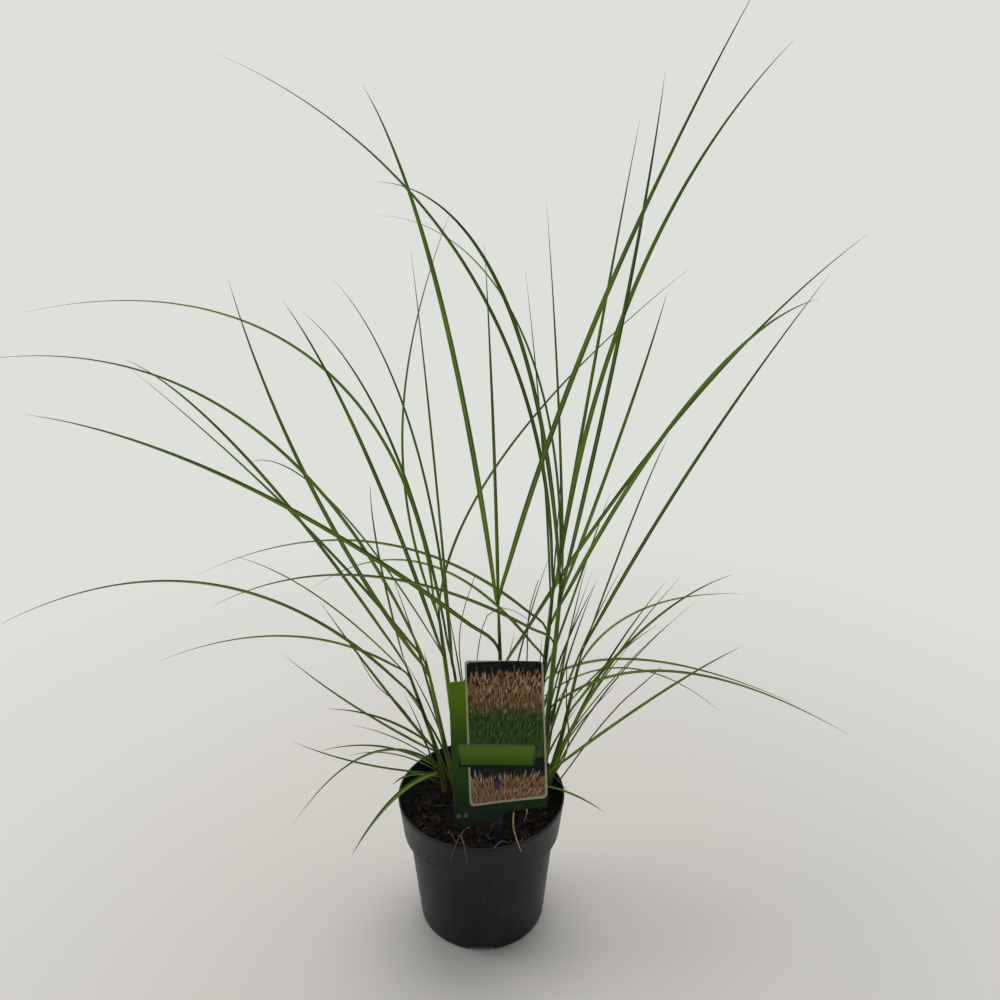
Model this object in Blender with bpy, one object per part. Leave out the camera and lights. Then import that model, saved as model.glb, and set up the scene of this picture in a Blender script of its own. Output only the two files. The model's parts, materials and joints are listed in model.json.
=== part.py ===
"""Potted ornamental grass clump: nursery pot, root ball, shoots, leaf blades and picture label.

Run with: blender --background --python part.py
Metres, +Z up. The origin is the middle of the pot's base, on the surface it stands on.
The clump is built in the order it would be potted: pot, root ball, shoots, leaves, label.
"""
import math
from collections import namedtuple

import bmesh
import bpy
from mathutils import Matrix, Vector

MM = 0.001
CM = 0.01
GAP = 0.3 * MM                      # air left between pieces that touch

# Pot: a thin-walled nursery pot with a stacking collar
POT_HEIGHT = 148 * MM
RIM_RADIUS = 85 * MM
COLLAR_FOOT_RADIUS = 80 * MM        # outside, at the lower edge of the collar
COLLAR_HEIGHT = 42 * MM
NECK_RADIUS = 74.5 * MM             # outside, just under the collar
FOOT_RADIUS = 65 * MM
WALL = 1.6 * MM
FLOOR_RISE = 4.5 * MM               # the floor stands this far off the table
PAD_RADIUS = 20 * MM                # flat pad in the middle of the base
POT_STEPS = 40
NOTCH_COUNT = 4
NOTCH_WIDTH = 28 * MM
NOTCH_HEIGHT = 5 * MM
DRAIN_COUNT = 4
DRAIN_RADIUS = 4.5 * MM
DRAIN_CIRCLE = 42 * MM

# Root ball
SOIL_TOP = 130 * MM
SOIL_EDGE_DROP = 3 * MM
CROWN_RADIUS = 72 * MM              # the level middle, where the shoots stand

# Picture label: card on a stake, pushed in at a slope in front of the shoots
STAKE_FOOT = Vector((18 * MM, -60 * MM, SOIL_TOP))
LABEL_LEAN = math.radians(20)       # back from upright
LABEL_ROLL = math.radians(2)        # top towards the left
STAKE_WIDTH = 8 * MM
STAKE_THICKNESS = 2.4 * MM
STAKE_DEPTH = 24 * MM               # in the soil
STAKE_REACH = 78 * MM               # above the soil
CARD_THICKNESS = 0.8 * MM
CARD_BOW = 3 * MM                   # how far the card's side edges curl forward
CARD_STRIP = 10 * MM                # width of the strips that follow the bow
SLOT_HEIGHT = 62 * MM               # the oval slot's centre above the soil, along the stake
SLOT_SIZE = (3.2 * MM, 6.0 * MM)    # half width and half height
PEG_SIZE = (2.2 * MM, 4.6 * MM)
CARD_CORNER = 4 * MM
CARD_LEFT, CARD_RIGHT = -43 * MM, 49 * MM
PANEL_LEFT = -27 * MM
CARD_TOP, PANEL_TOP_LEFT, PANEL_TOP_RIGHT = 164 * MM, 184 * MM, 181 * MM
CARD_FOOT_LEFT, CARD_FOOT_MIDDLE = 19 * MM, 25 * MM
CARD_STEP_TOP, CARD_FOOT_RIGHT = 34 * MM, 39 * MM

# Shoots: foot and top as (x, y) in cm, height above the soil in cm, thickness in mm
Shoot = namedtuple("Shoot", "foot top height thickness")
SHOOTS = {
    "centre": Shoot((2.4, 2.8), (1.7, 2.8), 23.0, 4.5),
    "right_tall": Shoot((6.1, 1.7), (7.9, 1.8), 27.0, 5.0),
    "right_inner": Shoot((5.2, 3.3), (7.2, 3.2), 25.0, 5.0),
    "right_outer": Shoot((7.1, 2.6), (10.2, 2.4), 18.0, 4.5),
    "right_back": Shoot((4.6, 5.2), (6.8, 5.0), 14.0, 4.0),
    "right_low": Shoot((5.6, 0.2), (7.0, 0.4), 5.0, 4.0),
    "left_tall": Shoot((-2.1, 2.7), (-4.2, 2.8), 22.0, 5.0),
    "left_front": Shoot((-2.6, 1.2), (-5.5, 1.2), 17.5, 4.5),
    "left_outer": Shoot((-3.6, 3.7), (-8.0, 3.6), 16.0, 4.5),
    "left_back": Shoot((-1.2, 5.1), (-3.2, 5.0), 16.0, 4.0),
    "left_low": Shoot((-3.9, 1.9), (-4.6, 2.0), 6.0, 4.0),
    "back": Shoot((1.5, 5.6), (1.9, 5.8), 13.0, 4.0),
}
SHOOT_SIDES = 8
SHOOT_TAPER = 0.5                   # width at the top against the foot
SHEATH_SWELLING = 0.12              # how much a leaf sheath thickens the shoot
SHOOT_RINGS = 6

# Leaves, listed by the shoot that carries them. A leaf starts at its collar, `height` cm up
# the shoot, sets off towards its bend point and ends at its tip. Both points are
# (out, up) in cm from the collar, along `heading`: 0 is right, 90 back, 180 left.
# `width` is in mm, and `turn` is how far the blade's face is turned from up to the front, in
# degrees.
Leaf = namedtuple("Leaf", "height heading bend tip width turn")
LEAVES = {
    "centre": [
        Leaf(22.6, 235, (7, 36), (15.5, 46), 5.5, 60),
        Leaf(17.4, 205, (23, 24.5), (38, 29), 5.0, 45),
        Leaf(21.0, 95, (3, 17), (16, 33), 4.0, 70),
        Leaf(23.0, 305, (10.5, 29), (26, 51), 5.5, 60),
    ],
    "right_tall": [
        Leaf(26.0, 165, (3, 35), (17, 35), 4.5, 55),
        Leaf(24.5, 125, (-1.0, 34), (34, 31), 2.5, 50),
        Leaf(25.0, 310, (7.5, 30), (9, 44.5), 4.5, 60),
        Leaf(26.5, 95, (3, 15), (16, 31.5), 3.0, 60),
        Leaf(23.5, 50, (12.5, 18.5), (16, 26.5), 4.0, 55),
        Leaf(11.0, 335, (10, 12), (28, 5), 3.5, 40),
        Leaf(18.5, 210, (19, 16.5), (32, 12.5), 3.5, 40),
    ],
    "right_inner": [
        Leaf(25.0, 150, (1, 35), (37.5, 46.5), 4.0, 50),
        Leaf(24.0, 50, (5.5, 22.5), (11, 42), 4.0, 60),
        Leaf(24.7, 340, (3.5, 32.5), (17, 47), 5.0, 60),
        Leaf(21.5, 100, (3, 14.5), (14, 30), 2.5, 60),
        Leaf(20.0, 320, (14, 31), (23, 34.5), 4.5, 55),
        Leaf(19.0, 160, (16.5, 13.5), (41.5, -1.5), 3.5, 40),
    ],
    "right_outer": [
        Leaf(18.0, 340, (8.5, 20.5), (18.5, 37), 4.0, 55),
        Leaf(15.5, 38, (5.5, 6.5), (25, -0.5), 3.0, 40),
        Leaf(9.5, 30, (10, 10.5), (21, 10.5), 3.5, 45),
    ],
    "right_back": [
        Leaf(13.5, 50, (5.5, 8.5), (10, 16), 3.0, 55),
        Leaf(12.0, 12, (8, 5), (28.5, -7), 3.5, 40),
        Leaf(14.0, 152, (13.5, 15.5), (30.5, 0.5), 3.5, 40),
    ],
    "right_low": [
        Leaf(4.0, 325, (12, 15), (18.5, 21), 3.5, 45),
        Leaf(2.4, 310, (4.5, 2), (8.5, 2), 3.0, 30),
    ],
    "left_tall": [
        Leaf(21.5, 162, (3, 36), (44, 26), 3.5, 50),
        Leaf(20.5, 130, (11.5, 16), (-3.5, 39), 3.0, 50),
        Leaf(22.0, 35, (2, 15), (31.5, 29.5), 3.0, 50),
        Leaf(17.0, 215, (7.5, 26.5), (13.5, 36), 4.5, 55),
    ],
    "left_front": [
        Leaf(17.0, 210, (12, 34.5), (33, 34), 3.5, 50),
        Leaf(15.5, 235, (15.5, 24), (19.5, 41), 4.5, 55),
        Leaf(16.5, 150, (13.5, 13), (36.5, 24.5), 3.5, 45),
    ],
    "left_outer": [
        Leaf(15.5, 215, (15, 29.5), (22.5, 34), 3.5, 50),
        Leaf(10.5, 205, (16.5, 25), (36.5, 17), 3.5, 45),
        Leaf(13.5, 165, (11.5, 6.5), (29.5, -3.5), 3.0, 40),
    ],
    "left_back": [
        Leaf(15.5, 140, (5, 26), (19.5, 32), 3.5, 55),
        Leaf(14.0, 130, (2, 29), (19, 36.5), 3.0, 55),
        Leaf(13.0, 108, (6.5, 25.5), (13, 40.5), 3.0, 60),
    ],
    "left_low": [
        Leaf(5.4, 215, (6, 10), (11.5, 21), 3.5, 45),
        Leaf(5.0, 155, (11, 2.5), (18.5, 7), 3.0, 40),
        Leaf(3.6, 225, (8.5, 10.5), (17.5, 3), 3.0, 40),
        Leaf(2.8, 228, (6, 2.5), (12, -3), 6.0, 35),
    ],
    "back": [
        Leaf(12.5, 20, (18, 29.5), (39, 42.5), 4.5, 55),
    ],
}
LEAF_SEGMENTS = 15
LEAF_THICKNESS = 1.0 * MM           # at the midrib
LEAF_FOLD = 0.16                    # depth of the blade's channel against its width
LEAF_TWIST = math.radians(35)       # the blade turns this much along its length
COLLAR_WIDTH = 0.6                  # blade width at the collar against its full width
FULL_WIDTH_FROM, TAPER_FROM = 0.15, 0.4

COLOURS = {
    "pot": (0.022, 0.024, 0.028, 0.55),
    "soil": (0.030, 0.020, 0.014, 0.95),
    "label_card": (0.090, 0.190, 0.030, 0.40),
    "label_stake": (0.020, 0.020, 0.060, 0.40),
    "shoot": (0.100, 0.200, 0.035, 0.50),
    "leaf": (0.060, 0.170, 0.030, 0.50),
}


def clear_scene():
    for item in list(bpy.data.objects):
        bpy.data.objects.remove(item, do_unlink=True)


def material(slot):
    """The plain material of one kind of piece."""
    if slot in bpy.data.materials:
        return bpy.data.materials[slot]
    red, green, blue, roughness = COLOURS[slot]
    made = bpy.data.materials.new(slot)
    made.use_nodes = True
    shader = made.node_tree.nodes["Principled BSDF"]
    shader.inputs["Base Color"].default_value = (red, green, blue, 1.0)
    shader.inputs["Roughness"].default_value = roughness
    return made


def add_object(name, mesh, slot):
    piece = bpy.data.objects.new(name, mesh)
    bpy.context.scene.collection.objects.link(piece)
    mesh.materials.append(material(slot))
    return piece


def object_from_bmesh(name, shape, slot, smooth_angle=35):
    shape.normal_update()
    bmesh.ops.recalc_face_normals(shape, faces=shape.faces)
    mesh = bpy.data.meshes.new(name)
    shape.to_mesh(mesh)
    shape.free()
    mesh.shade_smooth()
    mesh.set_sharp_from_angle(angle=math.radians(smooth_angle))
    return add_object(name, mesh, slot)


def turned(name, profile, steps, slot):
    """A turned piece: the (radius, height) profile runs up the inside and down the outside."""
    mesh = bpy.data.meshes.new(name)
    edges = [(i, i + 1) for i in range(len(profile) - 1)]
    mesh.from_pydata([(radius, 0, height) for radius, height in profile], edges, [])
    piece = add_object(name, mesh, slot)
    screw = piece.modifiers.new("Turn", "SCREW")
    screw.steps = steps
    screw.render_steps = steps
    screw.use_merge_vertices = True
    screw.merge_threshold = 0.00005
    return piece


def cut(piece, tool, operation="DIFFERENCE"):
    """Cut or join a piece with a hidden tool object."""
    tool.hide_render = True
    tool.display_type = "WIRE"
    boolean = piece.modifiers.new(tool.name, "BOOLEAN")
    boolean.operation = operation
    boolean.solver = "EXACT"
    boolean.object = tool


def prism(shape, outline, low, high):
    """Add a closed prism to a bmesh: an outline in x and y, from low to high in z."""
    corners = [shape.verts.new((x, y, low)) for x, y in outline]
    floor = shape.faces.new(corners)
    raised = bmesh.ops.extrude_face_region(shape, geom=[floor])
    tops = [item for item in raised["geom"] if isinstance(item, bmesh.types.BMVert)]
    bmesh.ops.translate(shape, verts=tops, vec=(0, 0, high - low))


def circle(radius_x, radius_y, sides):
    turns = [2 * math.pi * i / sides for i in range(sides)]
    return [(radius_x * math.cos(a), radius_y * math.sin(a)) for a in turns]


def wall_radius(height):
    """Outer radius of the pot's wall below the collar."""
    share = height / (POT_HEIGHT - COLLAR_HEIGHT)
    return FOOT_RADIUS + (NECK_RADIUS - FOOT_RADIUS) * share


def make_pot():
    collar_foot = POT_HEIGHT - COLLAR_HEIGHT
    floor_top = FLOOR_RISE + WALL
    inside = [
        (0, floor_top),
        (wall_radius(floor_top) - WALL, floor_top),
        (NECK_RADIUS - WALL, collar_foot - WALL),
        (COLLAR_FOOT_RADIUS - WALL, collar_foot + WALL),
        (RIM_RADIUS - WALL, POT_HEIGHT - 0.4 * MM),
    ]
    rim = [
        (RIM_RADIUS - 0.7 * WALL, POT_HEIGHT),
        (RIM_RADIUS - 0.3 * WALL, POT_HEIGHT),
        (RIM_RADIUS, POT_HEIGHT - 0.6 * MM),
    ]
    outside = [
        (COLLAR_FOOT_RADIUS + 0.3 * MM, collar_foot + 1.5 * MM),
        (COLLAR_FOOT_RADIUS - 0.4 * MM, collar_foot),
        (NECK_RADIUS, collar_foot - 0.6 * MM),
        (wall_radius(2 * MM) + 0.2 * MM, 2 * MM),
        (FOOT_RADIUS - 0.5 * MM, 0),
    ]
    base = [
        (FOOT_RADIUS - 4 * MM, 0),
        (FOOT_RADIUS - 5 * MM, FLOOR_RISE),
        (PAD_RADIUS + 1.5 * MM, FLOOR_RISE),
        (PAD_RADIUS, 0),
        (0, 0),
    ]
    pot = turned("pot", inside + rim + outside + base, POT_STEPS, "pot")
    cut(pot, make_drain_tool())


def make_drain_tool():
    """Notches through the foot ring and holes through the floor, all in one cutter."""
    shape = bmesh.new()
    half_foot = NOTCH_WIDTH / 2
    half_top = half_foot - 3 * MM
    for index in range(NOTCH_COUNT):
        notch = bmesh.new()
        outline = [(-half_foot - MM, -2 * MM), (half_foot + MM, -2 * MM)]
        outline += [(half_top, NOTCH_HEIGHT), (-half_top, NOTCH_HEIGHT)]
        prism(notch, outline, 0, 20 * MM)
        stand = Matrix.Rotation(math.radians(90), 4, "X")
        push = Matrix.Translation((0, -(FOOT_RADIUS - 8 * MM), 0))
        round_pot = Matrix.Rotation(2 * math.pi * index / NOTCH_COUNT, 4, "Z")
        join_into(shape, notch, round_pot @ push @ stand)
    for index in range(DRAIN_COUNT):
        turn = 2 * math.pi * (index + 0.5) / DRAIN_COUNT
        hole = bmesh.new()
        prism(hole, circle(DRAIN_RADIUS, DRAIN_RADIUS, 10), MM, 12 * MM)
        place = (DRAIN_CIRCLE * math.cos(turn), DRAIN_CIRCLE * math.sin(turn), 0)
        join_into(shape, hole, Matrix.Translation(place))
    return object_from_bmesh("drain_tool", shape, "pot")


def join_into(target, extra, matrix):
    """Copy one bmesh into another through a matrix."""
    extra.transform(matrix)
    copied = {vert: target.verts.new(vert.co) for vert in extra.verts}
    for face in extra.faces:
        target.faces.new([copied[vert] for vert in face.verts])
    extra.free()


def make_soil():
    """The root ball, filling the pot to the soil line, with a slot for the stake."""
    clear = WALL + GAP + 0.2 * MM
    collar_foot = POT_HEIGHT - COLLAR_HEIGHT
    floor = FLOOR_RISE + WALL + GAP
    edge_height = SOIL_TOP - SOIL_EDGE_DROP
    collar_share = (edge_height - collar_foot) / COLLAR_HEIGHT
    edge_radius = COLLAR_FOOT_RADIUS + (RIM_RADIUS - COLLAR_FOOT_RADIUS) * collar_share
    profile = [
        (0, SOIL_TOP),
        (CROWN_RADIUS, SOIL_TOP),
        (edge_radius - clear - MM, edge_height),
        (COLLAR_FOOT_RADIUS - clear - MM, collar_foot + 2.5 * WALL),
        (NECK_RADIUS - clear, collar_foot - WALL),
        (wall_radius(floor) - clear, floor),
        (0, floor),
    ]
    soil = turned("soil", profile, POT_STEPS // 2, "soil")
    shape = bmesh.new()
    side, back = STAKE_WIDTH / 2 + GAP, STAKE_THICKNESS + 2 * GAP
    outline = [(-side, -GAP), (side, -GAP), (side, back), (-side, back)]
    prism(shape, outline, -STAKE_DEPTH - MM, 30 * MM)
    shape.transform(label_frame() @ Matrix.Rotation(math.radians(-90), 4, "X"))
    cut(soil, object_from_bmesh("stake_slot_tool", shape, "soil"))


def label_frame():
    """The label's own axes: x across, y up along the stake, z out of the card's front."""
    lean = Matrix.Rotation(math.radians(90) - LABEL_LEAN, 4, "X")
    roll = Matrix.Rotation(LABEL_ROLL, 4, "Z")
    return Matrix.Translation(STAKE_FOOT) @ lean @ roll


def rounded(outline, radius, steps=3):
    """Round each corner of an outline with a short arc."""
    result = []
    count = len(outline)
    for index, corner in enumerate(outline):
        corner = Vector(corner)
        before = (Vector(outline[index - 1]) - corner).normalized() * radius
        after = (Vector(outline[(index + 1) % count]) - corner).normalized() * radius
        for step in range(steps + 1):
            share = step / steps
            start = corner + before * (1 - share)
            end = corner + after * share
            result.append(tuple(start.lerp(end, share)))
    return result


def card_outline():
    """The die-cut card: a narrow strip on the left and a taller picture panel beside it."""
    return [
        (CARD_LEFT, CARD_FOOT_LEFT),
        (0, CARD_FOOT_MIDDLE),
        (8 * MM, CARD_STEP_TOP),
        (CARD_RIGHT, CARD_FOOT_RIGHT),
        (CARD_RIGHT, PANEL_TOP_RIGHT),
        (PANEL_LEFT, PANEL_TOP_LEFT),
        (PANEL_LEFT, CARD_TOP),
        (CARD_LEFT, CARD_TOP),
    ]


def make_label_card():
    shape = bmesh.new()
    shape.faces.new([shape.verts.new((x, y, 0)) for x, y in rounded(card_outline(), CARD_CORNER)])
    across = CARD_LEFT + CARD_STRIP
    while across < CARD_RIGHT - CARD_STRIP / 2:
        everything = shape.verts[:] + shape.edges[:] + shape.faces[:]
        bmesh.ops.bisect_plane(shape, geom=everything, plane_co=(across, 0, 0), plane_no=(1, 0, 0))
        across += CARD_STRIP
    raised = bmesh.ops.extrude_face_region(shape, geom=shape.faces[:])
    tops = [item for item in raised["geom"] if isinstance(item, bmesh.types.BMVert)]
    bmesh.ops.translate(shape, verts=tops, vec=(0, 0, CARD_THICKNESS))
    for vert in shape.verts:
        vert.co.z += GAP + CARD_BOW * (vert.co.x / CARD_RIGHT) ** 2
    shape.transform(label_frame())
    card = object_from_bmesh("label_card", shape, "label_card")
    hole = bmesh.new()
    prism(hole, circle(*SLOT_SIZE, 12), -4 * MM, 6 * MM)
    hole.transform(label_frame() @ Matrix.Translation((0, SLOT_HEIGHT, 0)))
    cut(card, object_from_bmesh("slot_tool", hole, "label_card"))


def make_label_stake():
    """A pointed flat stick behind the card, with an oval peg through the card's slot."""
    side, tip = STAKE_WIDTH / 2, -STAKE_DEPTH
    outline = [(0, tip), (side, tip + 12 * MM), (side, STAKE_REACH - 3 * MM)]
    outline += [(side - 3 * MM, STAKE_REACH), (3 * MM - side, STAKE_REACH)]
    outline += [(-side, STAKE_REACH - 3 * MM), (-side, tip + 12 * MM)]
    shape = bmesh.new()
    prism(shape, outline, -STAKE_THICKNESS, 0)
    shape.transform(label_frame())
    stake = object_from_bmesh("label_stake", shape, "label_stake")
    peg = bmesh.new()
    prism(peg, circle(*PEG_SIZE, 12), -MM, CARD_THICKNESS + 2 * MM)
    peg.transform(label_frame() @ Matrix.Translation((0, SLOT_HEIGHT, 0)))
    cut(stake, object_from_bmesh("peg_tool", peg, "label_stake"), "UNION")


def shoot_point(shoot, height):
    """A point on the shoot's axis, `height` metres above the soil, and its radius there."""
    share = height / (shoot.height * CM)
    foot, top = Vector(shoot.foot) * CM, Vector(shoot.top) * CM
    place = foot.lerp(top, share)
    radius = shoot.thickness * MM / 2 * (1 - (1 - SHOOT_TAPER) * share)
    return Vector((place.x, place.y, SOIL_TOP + GAP + height)), radius


def bridge(shape, rings):
    """Join rings of corners, one after another, into a tube."""
    for lower, upper in zip(rings, rings[1:]):
        for index in range(len(lower)):
            after = (index + 1) % len(lower)
            shape.faces.new((lower[index], lower[after], upper[after], upper[index]))


def make_shoot(name, shoot):
    shape = bmesh.new()
    rings = []
    for step in range(SHOOT_RINGS + 1):
        height = shoot.height * CM * step / SHOOT_RINGS
        centre, radius = shoot_point(shoot, height)
        if step % 2 and step < SHOOT_RINGS:
            radius *= 1 + SHEATH_SWELLING
        corners = circle(radius, radius, SHOOT_SIDES)
        rings.append([shape.verts.new(centre + Vector((x, y, 0))) for x, y in corners])
    bridge(shape, rings)
    shape.faces.new(rings[0][::-1])
    shape.faces.new(rings[-1])
    object_from_bmesh("shoot_" + name, shape, "shoot")


def blade_width(share):
    """Blade width along its length, against its full width."""
    if share < FULL_WIDTH_FROM:
        return COLLAR_WIDTH + (1 - COLLAR_WIDTH) * share / FULL_WIDTH_FROM
    if share < TAPER_FROM:
        return 1.0
    return (1 - ((share - TAPER_FROM) / (1 - TAPER_FROM)) ** 1.5) * 0.96 + 0.04


def make_leaf(name, shoot, leaf):
    """One blade: a channelled, tapering solid along a parabola from collar to tip."""
    heading = math.radians(leaf.heading)
    out = Vector((math.cos(heading), math.sin(heading), 0))
    axis_point, radius = shoot_point(shoot, leaf.height * CM)
    half_collar = leaf.width * MM * COLLAR_WIDTH / 2
    start = axis_point + out * (radius + half_collar + GAP)
    bend = start + out * leaf.bend[0] * CM + Vector((0, 0, leaf.bend[1] * CM))
    tip = start + out * leaf.tip[0] * CM + Vector((0, 0, leaf.tip[1] * CM))
    turn = math.radians(leaf.turn)
    face = Vector((0, -math.sin(turn), math.cos(turn)))
    shape = bmesh.new()
    rings = []
    for step in range(LEAF_SEGMENTS):
        share = step / LEAF_SEGMENTS
        lower, upper = start.lerp(bend, share), bend.lerp(tip, share)
        centre, along = lower.lerp(upper, share), (upper - lower).normalized()
        twist = Matrix.Rotation(LEAF_TWIST * (share - 0.5), 3, along)
        across = twist @ face.cross(along).normalized()
        normal = across.cross(along)
        half = leaf.width * MM * blade_width(share) / 2
        rib = LEAF_THICKNESS / 2 * (1 - 0.6 * share)
        fold = normal * (LEAF_FOLD * 2 * half)
        corners = (across * half, fold + normal * rib, across * -half, fold - normal * rib)
        rings.append([shape.verts.new(centre + corner) for corner in corners])
    bridge(shape, rings)
    shape.faces.new(rings[0][::-1])
    point = shape.verts.new(tip)
    last = rings[-1]
    for index in range(len(last)):
        shape.faces.new((last[index], last[(index + 1) % len(last)], point))
    object_from_bmesh(name, shape, "leaf", 60)


def main():
    clear_scene()
    make_pot()
    make_soil()
    make_label_card()
    make_label_stake()
    for name, shoot in SHOOTS.items():
        make_shoot(name, shoot)
        for number, leaf in enumerate(LEAVES[name], start=1):
            make_leaf(f"leaf_{name}_{number}", shoot, leaf)


main()
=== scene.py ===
"""Potted silver grass clump: the finished look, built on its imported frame.

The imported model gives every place: the pot, the soil, the picture label, the stalks and the
centre line of each leaf blade. Each operator below makes one piece or one group of like pieces.
Metres, +Z up, with the origin in the middle of the pot's base.
"""

import json
import math
import random
from collections import namedtuple
from itertools import combinations

import bmesh
import bpy
from mathutils import Matrix, Vector

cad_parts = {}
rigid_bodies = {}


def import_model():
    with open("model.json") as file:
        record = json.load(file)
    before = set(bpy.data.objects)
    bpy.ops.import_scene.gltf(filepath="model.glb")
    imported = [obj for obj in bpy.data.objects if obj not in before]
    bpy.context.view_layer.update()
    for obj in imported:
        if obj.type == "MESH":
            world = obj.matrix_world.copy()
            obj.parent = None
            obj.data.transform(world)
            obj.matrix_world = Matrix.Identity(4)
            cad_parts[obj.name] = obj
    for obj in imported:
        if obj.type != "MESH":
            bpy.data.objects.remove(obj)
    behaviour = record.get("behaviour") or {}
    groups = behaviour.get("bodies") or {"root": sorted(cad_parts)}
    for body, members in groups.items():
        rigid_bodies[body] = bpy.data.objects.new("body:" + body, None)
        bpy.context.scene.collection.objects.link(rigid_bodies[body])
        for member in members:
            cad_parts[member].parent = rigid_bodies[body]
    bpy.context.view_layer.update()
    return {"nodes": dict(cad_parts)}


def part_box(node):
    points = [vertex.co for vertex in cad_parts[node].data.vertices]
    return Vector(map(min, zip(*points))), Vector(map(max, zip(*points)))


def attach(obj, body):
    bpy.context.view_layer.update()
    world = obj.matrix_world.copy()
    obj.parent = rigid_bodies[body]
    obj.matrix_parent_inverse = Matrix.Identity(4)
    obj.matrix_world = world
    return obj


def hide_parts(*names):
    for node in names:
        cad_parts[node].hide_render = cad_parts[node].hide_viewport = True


bl_info = {
    "name": "Potted Silver Grass",
    "version": (1, 0, 0),
    "blender": (4, 5, 0),
    "location": "View3D > Sidebar > Grass",
    "description": "Builds a potted clump of silver grass with its picture label",
    "category": "Add Mesh",
}

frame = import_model()

MM = 0.001
CM = 0.01
BODY = "root"

# Places read from the frame
POT_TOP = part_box("pot")[1][2]
RIM_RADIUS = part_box("pot")[1][0]
SOIL_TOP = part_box("soil")[1][2]
SOIL_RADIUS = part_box("soil")[1][0]
SOIL_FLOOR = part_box("soil")[0][2]

# Pot wall, as the frame has it
WALL = 1.6 * MM
COLLAR_FOOT = POT_TOP - 42 * MM
COLLAR_FOOT_RADIUS = 80 * MM
NECK_RADIUS = 74.5 * MM
FOOT_RADIUS = 65 * MM
FLOOR_RISE = 4.5 * MM
PAD_RADIUS = 20 * MM
NOTCH_HEIGHT = 5 * MM
NOTCH_COUNT = 4
DRAIN_COUNT = 4
DRAIN_CIRCLE = 42 * MM
DRAIN_RADIUS = 4.5 * MM

# How finely the soil is meshed: rings across its surface and flats round it
SOIL_RINGS = 64
SOIL_STEPS = 160
CRUMB_SHAPES = 4

# The label's own axes, as the frame has them: across, up along the stake, out of the front
STAKE_FOOT = Vector((18 * MM, -60 * MM, SOIL_TOP))
LABEL_TURN = Matrix.Rotation(math.radians(70), 3, "X") @ Matrix.Rotation(math.radians(2), 3, "Z")

# Fine blades too thin for the frame. Each starts `height` cm above the table on the axis of the
# named stalk; bend and tip are (out, up) in cm along `heading`, and width is in mm.
FineBlade = namedtuple("FineBlade", "stalk height heading bend tip width")
FINE_BLADES = [
    FineBlade("left_tall", 29, 150, (15.5, 21), (24.5, 16), 1.8),
    FineBlade("left_outer", 28.5, 140, (4, 12.5), (3.5, 18), 2.0),
    FineBlade("right_outer", 29, 30, (6.5, 17), (9.5, 22), 1.8),
    FineBlade("left_outer", 26, 160, (10.5, 10), (20, 10.5), 1.6),
    FineBlade("left_low", 18.5, 200, (5, 6), (11, 7.5), 2.4),
    FineBlade("left_low", 16, 165, (6, 3.5), (14, -0.5), 2.2),
    FineBlade("left_low", 15.5, 185, (8.5, 1), (15, 5), 2.0),
    FineBlade("left_low", 15, 205, (3.5, 2.5), (5.5, 0.8), 3.0),
    FineBlade("left_low", 15.5, 175, (5, 3.5), (10, 1.5), 1.4),
    FineBlade("left_low", 16.5, 180, (4, 4), (9, 5), 1.2),
    FineBlade("right_back", 22.5, 12, (9, 7.5), (21, -5), 1.6),
    FineBlade("right_outer", 24, 20, (5, 5), (9.5, 7), 1.6),
    FineBlade("centre", 34, 70, (-1, 14), (-2, 27), 2.0),
    FineBlade("right_inner", 26, 60, (2.5, 12), (3, 23), 1.8),
]

# Dead stems and straws: the points they pass through, in cm, the width in mm and the tone,
# from 0 for brown to 1 for cream
Straw = namedtuple("Straw", "points width tone")
STRAWS = [
    Straw([(-0.8, -3.6, 13.6), (-2.0, -7.6, 15.4), (-2.8, -9.1, 14.2)], 1.1, 0.25),
    Straw([(-2.3, -5.2, 13.6), (-1.6, -8.1, 15.4), (-1.2, -9.3, 13.8)], 1.0, 0.35),
    Straw([(3.3, -1.9, 13.7), (3.2, -4.6, 14.5), (3.5, -8.0, 15.5), (3.9, -9.2, 15.1)], 1.5, 0.6),
    Straw([(1.3, -8.8, 15.2), (2.0, -8.1, 15.4), (2.7, -7.4, 14.6)], 1.1, 0.3),
    Straw([(4.0, -1.2, 13.6), (4.6, -2.4, 14.4), (4.3, -3.3, 13.6)], 1.8, 0.5),
    Straw([(6.2, 2.6, 13.6), (7.1, 2.0, 15.3), (8.8, 0.0, 14.9)], 1.1, 0.6),
    Straw([(4.2, 2.8, 13.6), (4.6, 3.0, 28.5), (4.8, 3.0, 34.2), (5.6, 3.0, 37.5)], 1.3, 0.2),
    Straw([(6.8, 2.5, 13.6), (8.8, 2.0, 18.4), (8.6, 2.0, 24.0), (8.5, 2.0, 29.1)], 1.7, 0.4),
    Straw([(0.6, 2.6, 13.6), (-2.1, 3.0, 28.5), (-1.9, 3.0, 33.0), (-0.5, 3.0, 38.0)], 1.1, 0.15),
    Straw([(1.6, 2.8, 13.6), (-0.1, 3.0, 31.0), (1.8, 3.2, 34.4), (4.6, 3.0, 33.2)], 1.0, 0.3),
    Straw([(-3.4, 1.6, 13.6), (-8.2, 1.8, 24.0), (-10.3, 2.0, 26.0), (-12.4, 2.0, 30.4)], 1.1, 0.3),
    Straw([(7.4, 1.8, 13.6), (14.0, 2.0, 24.0), (16.2, 2.0, 26.4), (17.8, 2.0, 28.2)], 1.4, 0.25),
]

# Fine blades' shape: stations along each, and how far each twists from foot to tip
FINE_STEPS = 8
TWIST = math.radians(35)


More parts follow.
